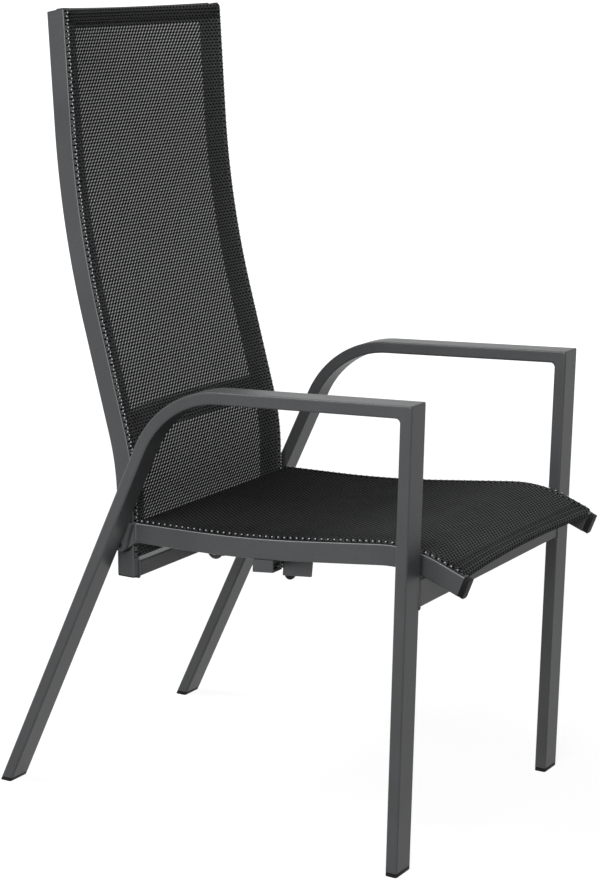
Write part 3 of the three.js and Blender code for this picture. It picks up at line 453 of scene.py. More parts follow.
cloth = {
    "pitchAcross": 0.00746,  # from one hole to the next in a row
    "pitchAlong": 0.00472,  # from row to row, with every second row moved by half a pitch
    "slitLength": 0.0058,
    "slitWidth": 0.0017,
    "slitDegrees": 38, "slitSoft": 0.6,
    "slitClear": 0.62,  # of the light behind a slit
    # the dot: a hollow where strands cross, painted dark as shade
    "dotLength": 0.0036,
    "dotWidth": 0.0030,
    "dotDegrees": 8, "dotSoft": 0.55,
    "dotShift": 0.0009,  # from the slit above it
    # dark: the colour of the painted shade in the dots, dark slits and valleys between strands
    "dark": 0.0012,
    "strand": 0.104,
    "specular": 0.04,
    "roughness": 0.8,
    "relief": 0.00045,
    "wander": 0.0009, "wanderScale": 150,  # how far the rows stray from straight
    "strandShadeContrast": 0.38, "cloudContrast": 0.40, "cloudScale": 26, "fibreContrast": 0.5, "fibreScale": 2600,
}


def latticePlace(finish, u, v, startAcross, startAlong):
    # where a point lies from the nearest point of the staggered lattice, in metres both ways
    rowPlace = v / cloth["pitchAlong"] + startAlong
    shift = 0.5 * finish.maths("FLOORED_MODULO", finish.maths("FLOOR", rowPlace), 2.0)
    columnPlace = u / cloth["pitchAcross"] + shift + startAcross
    return ((finish.maths("FRACT", columnPlace) - 0.5) * cloth["pitchAcross"],
            (finish.maths("FRACT", rowPlace) - 0.5) * cloth["pitchAlong"])


def ellipse(finish, x, y, degrees, length, width, soft):
    # 1 inside an ellipse turned by an angle and 0 outside it, with a soft rim
    turn = math.radians(degrees)
    along = (x * math.cos(turn) + y * math.sin(turn)) * (2 / length)
    wide = (y * math.cos(turn) - x * math.sin(turn)) * (2 / width)
    return finish.smooth(along * along + wide * wide, 1 + soft, 1 - soft)


def varied(value, contrast):
    # from 1 - contrast / 2 to 1 + contrast / 2 as the value goes from 0 to 1
    return (1 - contrast / 2) + contrast * value


def makeCloth():
    # coated mesh: slanting slits in staggered rows, and between two rows a dark dot of painted shade in the
    # hollow where strands cross;
    # the valleys between strands are painted darker as shade and their crests lighter as highlight. The uv map
    # is in metres. The attribute called open is 0 where a hem or seam closes the slits, shade is painted shade
    # and light that darkens or lightens the cloth, and hole paints its slits dark as painted shade where only
    # shade lies behind them
    finish = Finish("slingCloth")
    uv = finish.node("ShaderNodeUVMap", {"uv_map": "cloth"})
    wander = (finish.noise(uv, cloth["wanderScale"], 2) - 0.5) * cloth["wander"]
    u = finish.node("ShaderNodeSeparateXYZ", inputs=[uv], output="X") + wander
    v = finish.node("ShaderNodeSeparateXYZ", inputs=[uv], output="Y") + wander * 0.6
    slitX, slitY = latticePlace(finish, u, v, 0, 0)
    dotX, dotY = latticePlace(finish, u, v, -cloth["dotShift"] / cloth["pitchAcross"], 0.5)
    slit, dot = (ellipse(finish, x, y, *(cloth[kind + part] for part in ("Degrees", "Length", "Width", "Soft")))
                 for kind, x, y in (("slit", slitX, slitY), ("dot", dotX, dotY)))
    strand = finish.maths("COSINE", slitY * (2 * math.pi / cloth["pitchAlong"])) * 0.5 + 0.5
    opened, shade, hole = (finish.node("ShaderNodeAttribute", {"attribute_name": name}, output="Fac")
                           for name in ("open", "shade", "hole"))
    fibre = finish.noise(uv, cloth["fibreScale"], 2)
    cloud = finish.noise(uv, cloth["cloudScale"], 3)
    # painted shade: dots, dark slits and the valleys between strands darken the colour, and the strands' crests
    # are painted lighter
    contrast = cloth["strandShadeContrast"]
    level = shade * (1 - dot) * (1 - hole * slit) * (1 - contrast + contrast * strand)
    level = level * varied(cloud, cloth["cloudContrast"]) * varied(fibre, cloth["fibreContrast"])
    colour = finish.mixColours(level, grey(cloth["dark"], (0.96, 1.0, 1.04)),
                               grey(cloth["strand"], (0.98, 1.0, 1.02)))
    height = (1 - dot) * (0.7 + 0.3 * strand) * (1 - 0.5 * slit) + 0.08 * fibre
    finish.set(Base_Color=colour, Roughness=cloth["roughness"] + 0.15 * (1 - strand),
               Specular_IOR_Level=cloth["specular"], Alpha=1 - cloth["slitClear"] * slit * opened,
               Normal=finish.bump(height, cloth["relief"]))
    return finish.material


thread = {"pale": (0.45, 0.75), "dark": (0.012, 0.035), "roughness": 0.6,
          "twistScale": 2200, "relief": 0.0001}


def makeThread(name, low, high):
    # polyester sewing thread with a fine twist
    finish = Finish(name)
    twist = finish.noise(finish.objectPlace(), thread["twistScale"], 2)
    finish.set(Base_Color=finish.mixColours(twist, grey(low), grey(high)), Roughness=thread["roughness"],
               Normal=finish.bump(twist, thread["relief"]))
    return finish.material


say("finishes")
powderCoat = makeCoat("powderCoat", coat["level"])
weldCoat = makeCoat("weldCoat", coat["level"] * coat["weldLevel"], coat["grain"] * coat["weldGrain"])
# painted highlight coats for the strips along the rails' outer corners
paintedHighlightCoats = {body: makeCoat(f"paintedHighlightCoat_{body}", level) for body, level in coat["highlightLevels"].items()}
blackPlastic = makePlastic()
darkSteel = makeSteel("darkSteel", *steel["dark"])
brightSteel = makeSteel("brightSteel", *steel["bright"])
slingCloth = makeCloth()
paleThread = makeThread("paleThread", *thread["pale"])
darkThread = makeThread("darkThread", *thread["dark"])
finishOfSlot = {"powder_coat": powderCoat, "black_plastic": blackPlastic, "dark_steel": darkSteel,
                "bright_steel": brightSteel, "sling_cloth": slingCloth}
addCamera()
addStudio()


def coated(obj, body, *replaced):
    return finishPiece(obj, body, powderCoat, list(replaced))


sideFrame = {
    "overallWidth": 0.506, "armHeight": 0.660,
    "tubeWidth": 0.040, "tubeDepth": 0.018, "tubeCorner": 0.003,
    "frontFootSetback": 0.016, "rearFootReach": 0.701, "elbowRadius": 0.155,
    "armFallDegrees": 2.6, "rearLegDegrees": 25.5, "footHeight": 0.006,
    "outerRound": 0.002,  # at the corner of leg and arm, which is ground smooth
    "innerFillet": 0.0065,  # of weld in the same corner
}


def sidePoints():
    # the side frame's corners from its slopes: arm and rear leg meet where their two lines cross
    half = sideFrame["tubeDepth"] / 2
    fall = math.tan(math.radians(sideFrame["armFallDegrees"]))
    lean = math.tan(math.radians(sideFrame["rearLegDegrees"]))
    reach = sideFrame["rearFootReach"]
    shoulder = (half, sideFrame["armHeight"] - half)
    elbowZ = (shoulder[1] + (shoulder[0] - reach) * fall) / (1 - fall * lean)
    foot = (sideFrame["frontFootSetback"] + half, 0.0)
    lift = sideFrame["footHeight"]
    return {
        "frontFoot": (foot[0] + (shoulder[0] - foot[0]) * lift / shoulder[1], lift),
        "shoulder": shoulder,
        "elbow": (reach - elbowZ * lean, elbowZ),
        "rearFoot": (reach - lift * lean, lift),
    }


sideAt = sidePoints()
frameTubeX = (sideFrame["overallWidth"] - sideFrame["tubeWidth"]) / 2
frameInnerX = sideFrame["overallWidth"] / 2 - sideFrame["tubeWidth"]
tubeSection = roundedSection(sideFrame["tubeWidth"], sideFrame["tubeDepth"], sideFrame["tubeCorner"])


def addSideTube(side, sign):
    # one tube profile up the leg, round the welded corner and along the arm to the rear foot. At the corner
    # every line of the profile gets its own arc, small on the outside and wide on the inside
    foot, shoulder, elbow, rear = (place(sign * frameTubeX, *sideAt[name])
                                   for name in ("frontFoot", "shoulder", "elbow", "rearFoot"))
    legWay, armWay = unit(shoulder - foot), unit(elbow - shoulder)
    mitre = unit(legWay + armWay)
    leg = bentPath([foot, shoulder], [], across, startPlane=upward, endPlane=mitre)
    arm = bentPath([shoulder, elbow, rear], [sideFrame["elbowRadius"]], across, startPlane=mitre,
                   endPlane=-upward, arcSteps=40)
    legGrid, armGrid = (sweptGrid(tubeSection, resample(path, stationGap["tube"])) for path in (leg, arm))
    turn = math.acos(legWay @ armWay)
    share = tubeSection[:, 1] / sideFrame["tubeDepth"] + 0.5
    outer, inner = sideFrame["outerRound"], sideFrame["innerFillet"]
    radius = (outer + (inner - outer) * share)[None, :, None]
    angle = np.linspace(0, turn, 11)[:, None, None]
    inward = unit(armWay - legWay * (legWay @ armWay))
    start = legGrid[-1][None] - radius * math.tan(turn / 2) * legWay
    arcs = start + radius * (np.sin(angle) * legWay + (1 - np.cos(angle)) * inward)
    grid = np.vstack([legGrid[:-1], arcs, armGrid[1:]])
    coated(meshOfGrid(f"sideTube_{side}", grid), "frame", f"front_leg_{side}", f"arm_and_rear_leg_{side}")


weld = {
    "ripple": 0.0022, "rippleDepth": 0.10, "stationGap": 0.0007,
    "tubeBead": 0.0021, "barBead": 0.0019, "railEndBead": 0.0024, "railEndRipple": 0.0031,
    "crossTubeFillet": (0.0012, 0.0042), "bottomBarFillet": (0.0022, 0.0026),  # on its faces and its edges
    "filletPoints": 96, "filletRipple": 0.05,
    "filletInside": 0.0006, "filletBehind": 0.0004,  # how far its skin reaches into the bar and the face
    "tubeInset": 0.0013, "tubeLift": 0.0002, "tubeEndClear": 0.001, "railLift": 0.0004,
    "barInset": 0.0006, "barLift": 0.0012, "barEndClear": 0.003,
    "railEndInset": 0.0009, "railEndHeights": (0.0130, 0, -0.0125),
}


def addBead(name, corners, radius, body, ripple=weld["ripple"]):
    # a weld bead: circles along the seam whose radius ripples, tapering at both ends
    corners = np.array(corners)
    along = lengthsAlong(corners)
    spots = np.linspace(0, along[-1], max(12, int(along[-1] / weld["stationGap"])))
    points = readAlong(corners, along, spots)
    ends = clamp(np.minimum(spots, along[-1] - spots) / radius + 0.25) ** 0.5
    radii = radius * ends * (1 + weld["rippleDepth"] * np.sin(2 * math.pi * spots / ripple))
    ways = unit(np.gradient(points, axis=0))
    first = unit(np.cross(ways, np.where(np.abs(ways[:, 2:]) < 0.9, upward, across)))
    second = np.cross(ways, first)
    angles = np.linspace(0, 2 * math.pi, 10, endpoint=False)[None, :, None]
    ring = np.cos(angles) * first[:, None] + np.sin(angles) * second[:, None]
    bead = meshOfGrid(name, points[:, None] + radii[:, None, None] * ring, sharp=60)
    finishPiece(bead, body, weldCoat)


def addFillet(name, centre, section, axes, way, radii, body):
    # a weld fillet round a bar's end: at each point of the bar's outline, a hollow quarter circle runs from
    # the bar to the face that it is welded to. way points from that face along the bar, and the fillet's
    # size goes from radii[0] where the outline faces axes[0] to radii[1] where it faces axes[1]
    closed = np.vstack([section, section[:1]])
    along = lengthsAlong(closed)
    outline = readAlong(closed, along, np.linspace(0, along[-1], weld["filletPoints"], endpoint=False))
    tangent = unit(np.roll(outline, -1, 0) - np.roll(outline, 1, 0))
    normal = np.stack([tangent[:, 1], -tangent[:, 0]], 1)
    basis = np.stack([np.asarray(axis, float) for axis in axes])
    ripple = 1 + weld["filletRipple"] * np.sin(np.arange(weld["filletPoints"]) * 2 * math.pi / 6)
    size = (radii[0] * normal[:, 0] ** 2 + radii[1] * normal[:, 1] ** 2) * ripple
    loop, outward, way = centre + outline @ basis, normal @ basis, np.asarray(way, float)
    turn = np.linspace(0, math.pi / 2, 7)[None, :, None]
    heart = (loop + size[:, None] * (outward + way))[:, None]
    arc = heart - size[:, None, None] * (np.cos(turn) * outward[:, None] + np.sin(turn) * way)
    inside = (loop - weld["filletInside"] * outward)[:, None]
    behind = inside - weld["filletBehind"] * way
    grid = np.concatenate([arc, behind, inside + size[:, None, None] * way], 1)
    finishPiece(meshOfGrid(name, grid, loop=True), body, weldCoat)


def addWeldedBar(name, y, z, half, welds, section, filletSizes, body, node):
    # a straight bar from -half to half, with a fillet round each end where it meets the tubes at the welds
    path = bentPath([(-half, y, z), (half, y, z)], [], rearward)
    coated(sweep(name, section, resample(path, stationGap["bar"])), body, node)
    for side, sign in sides.items():
        addFillet(f"{name}Fillet_{side}", np.array([sign * welds, y, z]), section, (rearward, upward),
                  -sign * across, filletSizes, body)


say("side frames")
for side, sign in sides.items():
    addSideTube(side, sign)

rail = {"width": 0.014, "depth": 0.030, "corner": 0.0024}
seatFrame = {
    "width": 0.408, "rearReach": 0.4825, "rearHeight": 0.4108,
    "lengths": (0.195, 0.259, 0.086), "degrees": (1.1, 6.4, -21.2), "radii": (1.98, 0.185),
    "frontBarWidth": 0.022, "frontBarThickness": 0.006, "frontBarCorner": 0.0027,
    "frontBarSetback": 0.002, "frontBarBow": 0.008,
    "crossTubeHeight": 0.040, "crossTubeDepth": 0.018,
}
railSection = roundedSection(rail["width"], rail["depth"], rail["corner"])


def runOf(start, lengths, degrees, forward):
    # corner points of straight runs, each at its own angle above level, or from upright for the back
    corners = [np.asarray(start, float)]
    for length, angle in zip(lengths, np.radians(degrees)):
        step = (0, -math.cos(angle), math.sin(angle)) if forward else (0, math.sin(angle), math.cos(angle))
        corners.append(corners[-1] + length * np.array(step))
    return corners


def seatCorners(x):
    start = place(x, seatFrame["rearReach"], seatFrame["rearHeight"])
    return runOf(start, seatFrame["lengths"], seatFrame["degrees"], True)


def offsetRun(corners, radii, distance):
    # the same run moved square to it: each corner goes along the halving line of its angle, and a bend's
    # radius grows by the distance where the run turns away from the side moved to, or else shrinks by it
    ways = [unit(b - a) for a, b in zip(corners, corners[1:])]
    rises = [np.cross(way, across) for way in ways]
    moved = []
    for i, corner in enumerate(corners):
        before, after = rises[max(i - 1, 0)], rises[min(i, len(rises) - 1)]
        moved.append(corner + (before + after) * distance / (1 + before @ after))
    return moved, [r - np.sign(ways[i + 1] @ rises[i]) * distance for i, r in enumerate(radii)]


def bowedBar(name, centre, half, section, bow, way, side):
    # a bar whose middle is moved by the bow along one arc between its two ends
    leg = math.hypot(half, 2 * bow)
    corners = [centre + across * x for x in (-half, 0, half)]
    corners[1] = corners[1] + way * 2 * bow
    radius = leg * half / (2 * bow)
    path = bentPath(corners, [radius], side, startPlane=across, endPlane=across, arcSteps=32)
    return sweep(name, section, path)


# painted highlight: a thin strip of much lighter coat along the rails' outer corners, where light catches the
# rounded corners
railHighlight = {"size": 0.0013, "inset": 0.0010, "corner": 0.35, "backStart": 0.068}  # corner: of the size


def addHighlightLine(name, path, sign, facing, body):
    # a painted highlight along the rail's outer corner beside the cloth's edge, where light catches the rounded
    # corner:
    # a thin strip in a much lighter coat, with a small square section carried along that corner
    out, up = (rail[size] / 2 - railHighlight["inset"] for size in ("width", "depth"))
    moved = {**path, "points": path["points"] + (across * sign * out + facing * path["rises"] * up)}
    section = roundedSection(railHighlight["size"], railHighlight["size"], railHighlight["size"] * railHighlight["corner"], 3)
    finishPiece(sweep(name, section, moved), body, paintedHighlightCoats[body])


seatRailX = (seatFrame["width"] - rail["width"]) / 2
seatInnerX = seatFrame["width"] / 2 - rail["width"]
seatMiddle = seatCorners(0)
frontWay = unit(seatMiddle[-1] - seatMiddle[-2])  # the seat's way at its front end, and its rise there
frontRise = np.cross(frontWay, across)


def addCrossTube():
    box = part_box("front_cross_tube")
    front, rear, low, high = box[0].y, box[1].y, box[0].z, box[1].z
    y, z, half = (front + rear) / 2, (low + high) / 2, frameInnerX
    section = roundedSection(seatFrame["crossTubeDepth"], seatFrame["crossTubeHeight"],
                             sideFrame["tubeCorner"])
    addWeldedBar("crossTube", y, z, half, half, section, weld["crossTubeFillet"], "frame",
                 "front_cross_tube")
    for side, sign in sides.items():
        for end, edge in (("front", front + weld["tubeInset"]), ("rear", rear - weld["tubeInset"])):
            x, radius = sign * (half + weld["tubeLift"]), weld["tubeBead"]
            seam = [(x, edge, low + weld["tubeEndClear"]), (x, edge, high - weld["tubeEndClear"])]
            addBead(f"crossTubeBead_{side}_{end}", seam, radius, "frame")
            for flank, face in (("inner", seatInnerX), ("outer", seatFrame["width"] / 2)):
                x, over = sign * face, high + weld["railLift"]
                addBead(f"railBead_{side}_{end}_{flank}", [(x, y, over), (x, edge, over)], radius, "frame")


def addSeatFrame():
    for side, sign in sides.items():
        path = bentPath(seatCorners(sign * seatRailX), seatFrame["radii"], across, startPlane=-rearward,
                        arcSteps=28)
        start = path["points"][0]
        path = resample(path, stationGap["rail"])
        coated(sweep(f"seatRailTube_{side}", railSection, path), "frame", f"seat_rail_{side}")
        addHighlightLine(f"seatRailHighlight_{side}", path, sign, 1, "frame")
        x = sign * (seatFrame["width"] / 2 - weld["railEndInset"])
        seam = [(x, start[1] + weld["tubeLift"], start[2] + z) for z in weld["railEndHeights"]]
        addBead(f"railEndWeld_{side}", seam, weld["railEndBead"], "frame", weld["railEndRipple"])
    addCrossTube()
    lift = rail["depth"] / 2 - seatFrame["frontBarThickness"] / 2
    setback = seatFrame["frontBarSetback"] + seatFrame["frontBarWidth"] / 2
    centre = seatMiddle[-1] + frontRise * lift - frontWay * setback
    section = roundedSection(*(seatFrame["frontBar" + part] for part in ("Thickness", "Width", "Corner")))
    bar = bowedBar("seatFrontBar", centre, seatInnerX - fitGap, section, seatFrame["frontBarBow"],
                   -frontWay, frontRise)
    coated(bar, "frame", "seat_front_bar")


say("seat frame")
addSeatFrame()

backFrame = {
    "width": 0.3986, "topWidth": 0.392, "reach": 0.505, "footHeight": 0.3424, "hingeHeight": 0.3918,
    "lengths": (0.1636, 0.357, 0.303), "degrees": (0.0, 15.0, 3.2), "radii": (0.365, 1.365),
    "topSlopeDegrees": 8.0,
    "topBarHeight": 0.028, "topBarDepth": 0.014, "topBarBow": 0.020, "topBarRise": 0.0040,
    "topBarTiltDegrees": 7.0, "topPlugThickness": 0.0014,
    "lumbarHeight": 0.040, "lumbarDepth": 0.018, "lumbarBow": 0.020, "lumbarRise": 0.2156,
    "bottomBarHeight": 0.024, "bottomBarDepth": 0.020, "bottomBarDrop": 0.003,
}
backFrame["loss"] = 1 - backFrame["topWidth"] / backFrame["width"]
backRailX = (backFrame["width"] - rail["width"]) / 2
backInnerX = backFrame["width"] / 2 - rail["width"]


def backCorners(x):
    start = place(x, backFrame["reach"], backFrame["footHeight"])
    return runOf(start, backFrame["lengths"], backFrame["degrees"], False)


def backReachAt(height):
    # where the back rails' centre line is along y at a height
    points = bentPath(backCorners(0), backFrame["radii"], across)["points"]
    return float(np.interp(height, points[:, 2], points[:, 1]))


backMiddle = backCorners(0)


def addBackFrame():
    lean = math.radians(backFrame["degrees"][-1] + backFrame["topSlopeDegrees"])
    topPlane = np.array([0, math.sin(lean), math.cos(lean)])
    for side, sign in sides.items():
        corners, radii = backCorners(sign * backRailX), backFrame["radii"]
        path = bentPath(corners, radii, across, endPlane=topPlane, arcSteps=40)
        rails = sweep(f"backRailTube_{side}", railSection, resample(path, stationGap["rail"]))
        coated(rails, "backrest", f"back_rail_{side}")
        corners[0] = corners[0] + upward * railHighlight["backStart"]
        shorter = resample(bentPath(corners, radii, across, endPlane=topPlane), stationGap["rail"])
        addHighlightLine(f"backRailHighlight_{side}", shorter, sign, -1, "backrest")
        low = path["points"][-1] + path["ways"][-1] * fitGap
        high = low + path["ways"][-1] * backFrame["topPlugThickness"]
        plug = sweep(f"topPlug_{side}", railSection, bentPath([low, high], [], across, topPlane, topPlane))
        coated(plug, "backrest", f"back_rail_top_plug_{side}")
    half = backInnerX - fitGap
    tilt = math.radians(backFrame["topBarTiltDegrees"])
    leaned = np.array([0, math.cos(tilt), -math.sin(tilt)]), np.array([0, math.sin(tilt), math.cos(tilt)])
    topZ = backMiddle[-1][2] + backFrame["topBarRise"] - backFrame["topBarHeight"] / 2
    lumbarZ = backFrame["footHeight"] + backFrame["lumbarRise"]
    seams = []
    bars = (("topBar", "topBar", "back_top_bar", topZ, leaned),
            ("lumbar", "lumbarBar", "back_lumbar_bar", lumbarZ, (rearward, upward)))
    for name, piece, node, z, axes in bars:
        height, depth, bow = (backFrame[name + part] for part in ("Height", "Depth", "Bow"))
        centre, section = np.array([0, backReachAt(z), z]), roundedSection(height, depth, rail["corner"])
        coated(bowedBar(piece, centre, half, section, bow, *axes), "backrest", node)
        seams.append((name, centre[1] + depth / 2 + weld["barLift"], z, height / 2 - weld["barEndClear"]))
    for side, sign in sides.items():
        for name, rear, z, tall in seams:
            x = sign * (half - weld["barInset"])
            seam = [(x, rear, z - tall), (x, rear, z + tall)]
            addBead(f"{name}Bead_{side}", seam, weld["barBead"], "backrest")
    height, depth = backFrame["bottomBarHeight"], backFrame["bottomBarDepth"]
    y = backMiddle[0][1] - (rail["depth"] - depth) / 2
    z = backFrame["footHeight"] - backFrame["bottomBarDrop"] + height / 2
    addWeldedBar("bottomBar", y, z, half, backInnerX, roundedSection(depth, height, rail["corner"]),
                 weld["bottomBarFillet"], "backrest", "back_bottom_bar")


say("back frame")
addBackFrame()

sling = {
    "thickness": 0.0007,
    "edgeMargin": 0.0012,  # from a rail's outer face to the cloth's edge
    "rollHeight": 0.0029,  # of the cord sewn into the edge
    "rollCrest": 0.0048, "rollWidth": 0.0105,
    "hemWidth": 0.0225, "hemRise": 0.0006,  # of double cloth along the rails
    "backRise": 0.0286, "backDrop": -0.0012,
    "topFolds": (0.0, 0.006, 0.012, 0.018), "bottomFolds": (0.0, 0.014, 0.026),
    "frontFolds": (0.0, 0.010, 0.018, 0.025), "foldRise": 0.0007,
    # painted shade and light: the seat's cloth is darker to the rear, where the back and arms shade it, and
    # lighter at the front, which faces forward
    "seatShade": (0.40, 1.15), "seatShadeReach": 0.26,  # at the rear and the front, darker to the rear
    # the painted shade along the grooves between padded bands: its width and how much it darkens
    "grooveWidth": 0.0017, "grooveShadeStrength": 0.85,
    "seatReturn": 0.016, "seatOpen": 0.12,  # of the back's openness, as the floor is dark under the seat
    "sag": 0.0035,
    "hemStep": 0.002, "openStep": 0.003, "foldStep": 0.0015, "endFade": 0.004,  # how wide each change is
    "backRows": 0.0025, "seatRows": 0.0019,  # furthest apart
    "bandStart": 0.001, "returnInset": 0.0005,  # from the cloth's edge
    # hiddenShade is painted light on the cloth turned under the seat's front, which faces down; seatHole is
    # painted shade, how dark the seat's slits are painted where only shade lies under them
    "hiddenShade": 1.5, "seatHole": 0.9,
    "backEdgeStart": 0.35, "seatEdgeStart": 0.2,  # of the rolled edge's height at the cloth's ends
    "stitchPitch": 0.0102, "stitchLength": 0.0023, "stitchRadius": 0.0009,
    "seamClear": 0.004, "backSeamClear": 0.008,  # from the end of a seam to the end of the cloth
    "backStitches": ((0.0018, 0.050), (0.0030, 0.045)), "seatStitches": ((0.0014, 0.004),),
    "foldStitchPitch": 0.0046, "foldStitchLength": 0.0030, "foldStitchRadius": 0.0005,
}


def edgeHeight(inward):
    # the cloth over its edge cord, by the distance in from the edge: a quarter ellipse up to the crest, a
    # cosine down to the double cloth, then a step down to the single cloth
    crest, width = sling["rollCrest"], sling["rollWidth"]
    rising = np.sqrt(clamp(1 - (1 - clamp(inward / crest)) ** 2))
    falling = 0.5 + 0.5 * np.cos(math.pi * clamp((inward - crest) / (width - crest)))
    hem = 1 - clamp((inward - sling["hemWidth"]) / sling["hemStep"] + 0.5)
    return rising * ((sling["rollHeight"] - sling["hemRise"]) * falling + sling["hemRise"] * hem)


def foldHeight(distance, folds):
    # padded bands between rows of sewing, by the distance from the cloth's end: an arch over each band
    phase = np.interp(distance, folds, np.arange(len(folds)), left=0, right=len(folds) - 1)
    single = clamp(1 - (distance - folds[-1]) / sling["foldStep"])
    arch = np.abs(np.sin(math.pi * phase)) ** 0.6
    return sling["foldRise"] * (arch + 0.25) * single


def grooveShade(distance, folds):
    # painted shade in the grooves along the rows of sewing: 1 - strength * the sum of bells round each fold
    bells = np.exp(-((distance[:, None] - np.array(folds[1:])[None]) / sling["grooveWidth"]) ** 2).sum(1)
    return 1 - sling["grooveShadeStrength"] * clamp(bells)


def pastFolds(distance, folds):
    # 0 on the folded bands and 1 on the single cloth, by the distance from the cloth's end
    return clamp((distance - sling[folds][-1]) / sling["hemStep"])


def pastHem(inward):
    # 0 on the double cloth along the rails and 1 on the single cloth
    return clamp((inward - sling["hemWidth"]) / sling["openStep"] + 0.5)


def clothLift(inward, edgeFade, folds):
    # the higher of the rolled edge, which fades out at the cloth's ends, and the padded bands between the
    # edges
    bands = folds[:, None] * clamp(inward / sling["bandStart"])
    return np.maximum(edgeHeight(inward) * edgeFade[:, None], bands)


def slingColumns(half, count=88):
    # column places across the cloth, closer together at both edges
    edge = np.array([0, 0.12, 0.4, 0.9, 1.6, 2.5, 3.6, 4.8, 6.0, 7.3, 8.7, 10.2]) / 1000
    inside = np.linspace(-half + 0.012, half - 0.012, count)
    return np.concatenate([-half + edge, inside, (half - edge)[::-1]])


def clothMesh(name, grid, xs, along, opened, shade, hole):
    # the cloth's middle surface, with a uv map in metres and what its material reads at each point
    rows, columns = grid.shape[:2]
    uv = np.stack([xs + 0.5, along[:, None] + 0 * xs], -1).reshape(-1, 2)
    obj = meshFrom(name, grid.reshape(-1, 3), gridFaces(rows, columns), uv=uv, sharp=80)
    for key, values in (("open", opened), ("shade", shade + 0 * opened), ("hole", hole + 0 * opened)):
        layer = obj.data.attributes.new(key, "FLOAT", "POINT")
        layer.data.foreach_set("value", values.astype(np.float32).ravel())
    solid = obj.modifiers.new("thickness", "SOLIDIFY")
    solid.thickness, solid.offset = sling["thickness"], 0
    return obj


def stitches(name, spots, ways, ups, body, material, length, radius):
    # short rounded stitches: an eight-sided capsule arched over its middle, copied to each spot
    rings = np.array([-1, -0.85, -0.4, 0.4, 0.85, 1.0])
    girth = np.array([0.15, 0.75, 1.0, 1.0, 0.75, 0.15])
    angles = np.linspace(0, 2 * math.pi, 8, endpoint=False)
    ups = unit(ups)
    ways = unit(ways - (ways * ups).sum(1, keepdims=True) * ups)
    lateral = np.cross(ways, ups)
    lengthwise = np.broadcast_to(rings[:, None] * length / 2, (6, 8))
    sideways = girth[:, None] * radius * np.cos(angles)
    high = girth[:, None] * radius * np.sin(angles) + (1 - rings[:, None] ** 2) * radius * 0.5
    frames = [(lengthwise, ways), (sideways, lateral), (high, ups)]
    points = spots[:, None, None] + sum(part[None, ..., None] * axis[:, None, None] for part, axis in frames)
    first = 48 * np.arange(len(spots))[:, None]
    faces = (gridFaces(6, 8, wrap=True)[None] + first[..., None]).reshape(-1, 4)
    caps = np.concatenate([np.arange(8)[::-1][None] + first, 40 + np.arange(8)[None] + first])
    obj = meshFrom(name, points.reshape(-1, 3), faces, sharp=70, ends=caps)
    return finishPiece(obj, body, material)


def edgeSeams(name, path, half, body, base, facing, columns):
    # columns of stitches on the outward flank of each edge, each at its own distance in from the edge and
    # starting at its own place along it, and every second column half a pitch behind the first
    spots, ways, ups = [], [], []
    for sign in sides.values():
        for column, (inward, start) in enumerate(columns):
            first = start - start % sling["stitchPitch"] + (1 + column / 2) * sling["stitchPitch"]
            places = np.arange(first, path["along"][-1] - sling["seamClear"], sling["stitchPitch"])
            slope = float(edgeHeight(inward + 1e-4) - edgeHeight(inward - 1e-4)) / 2e-4
            point, way, rise = (readAlong(path[key], path["along"], places)
                                for key in ("points", "ways", "rises"))
            rise = facing * rise
            height = base + float(edgeHeight(inward)) + sling["thickness"] / 2
            spots.append(point + across * sign * (half - inward) + rise * height)
            ways.append(way)
            ups.append(unit(rise + across * sign * slope))
    return stitches(name, np.vstack(spots), np.vstack(ways), np.vstack(ups), body, paleThread,
                    sling["stitchLength"], sling["stitchRadius"])


def foldSeams(name, grid, xs, ends, distance, folds, rise, body):
    # rows of stitches in the cloth's own colour in the grooves between padded bands
    spots, ups = [], []
    for fold in folds[1:]:
        row = int(np.argmin(np.abs(distance - fold)))
        places = np.arange(-ends, ends, sling["foldStitchPitch"])
        line = readAlong(grid[row], xs[row], places)
        spots.append(line + rise[row] * sling["thickness"] * 0.6)
        ups.append(np.repeat(rise[row][None], len(places), 0))
    ways = np.repeat(across[None], sum(map(len, spots)), 0)
    return stitches(name, np.vstack(spots), ways, np.vstack(ups), body, darkThread,
                    sling["foldStitchLength"], sling["foldStitchRadius"])


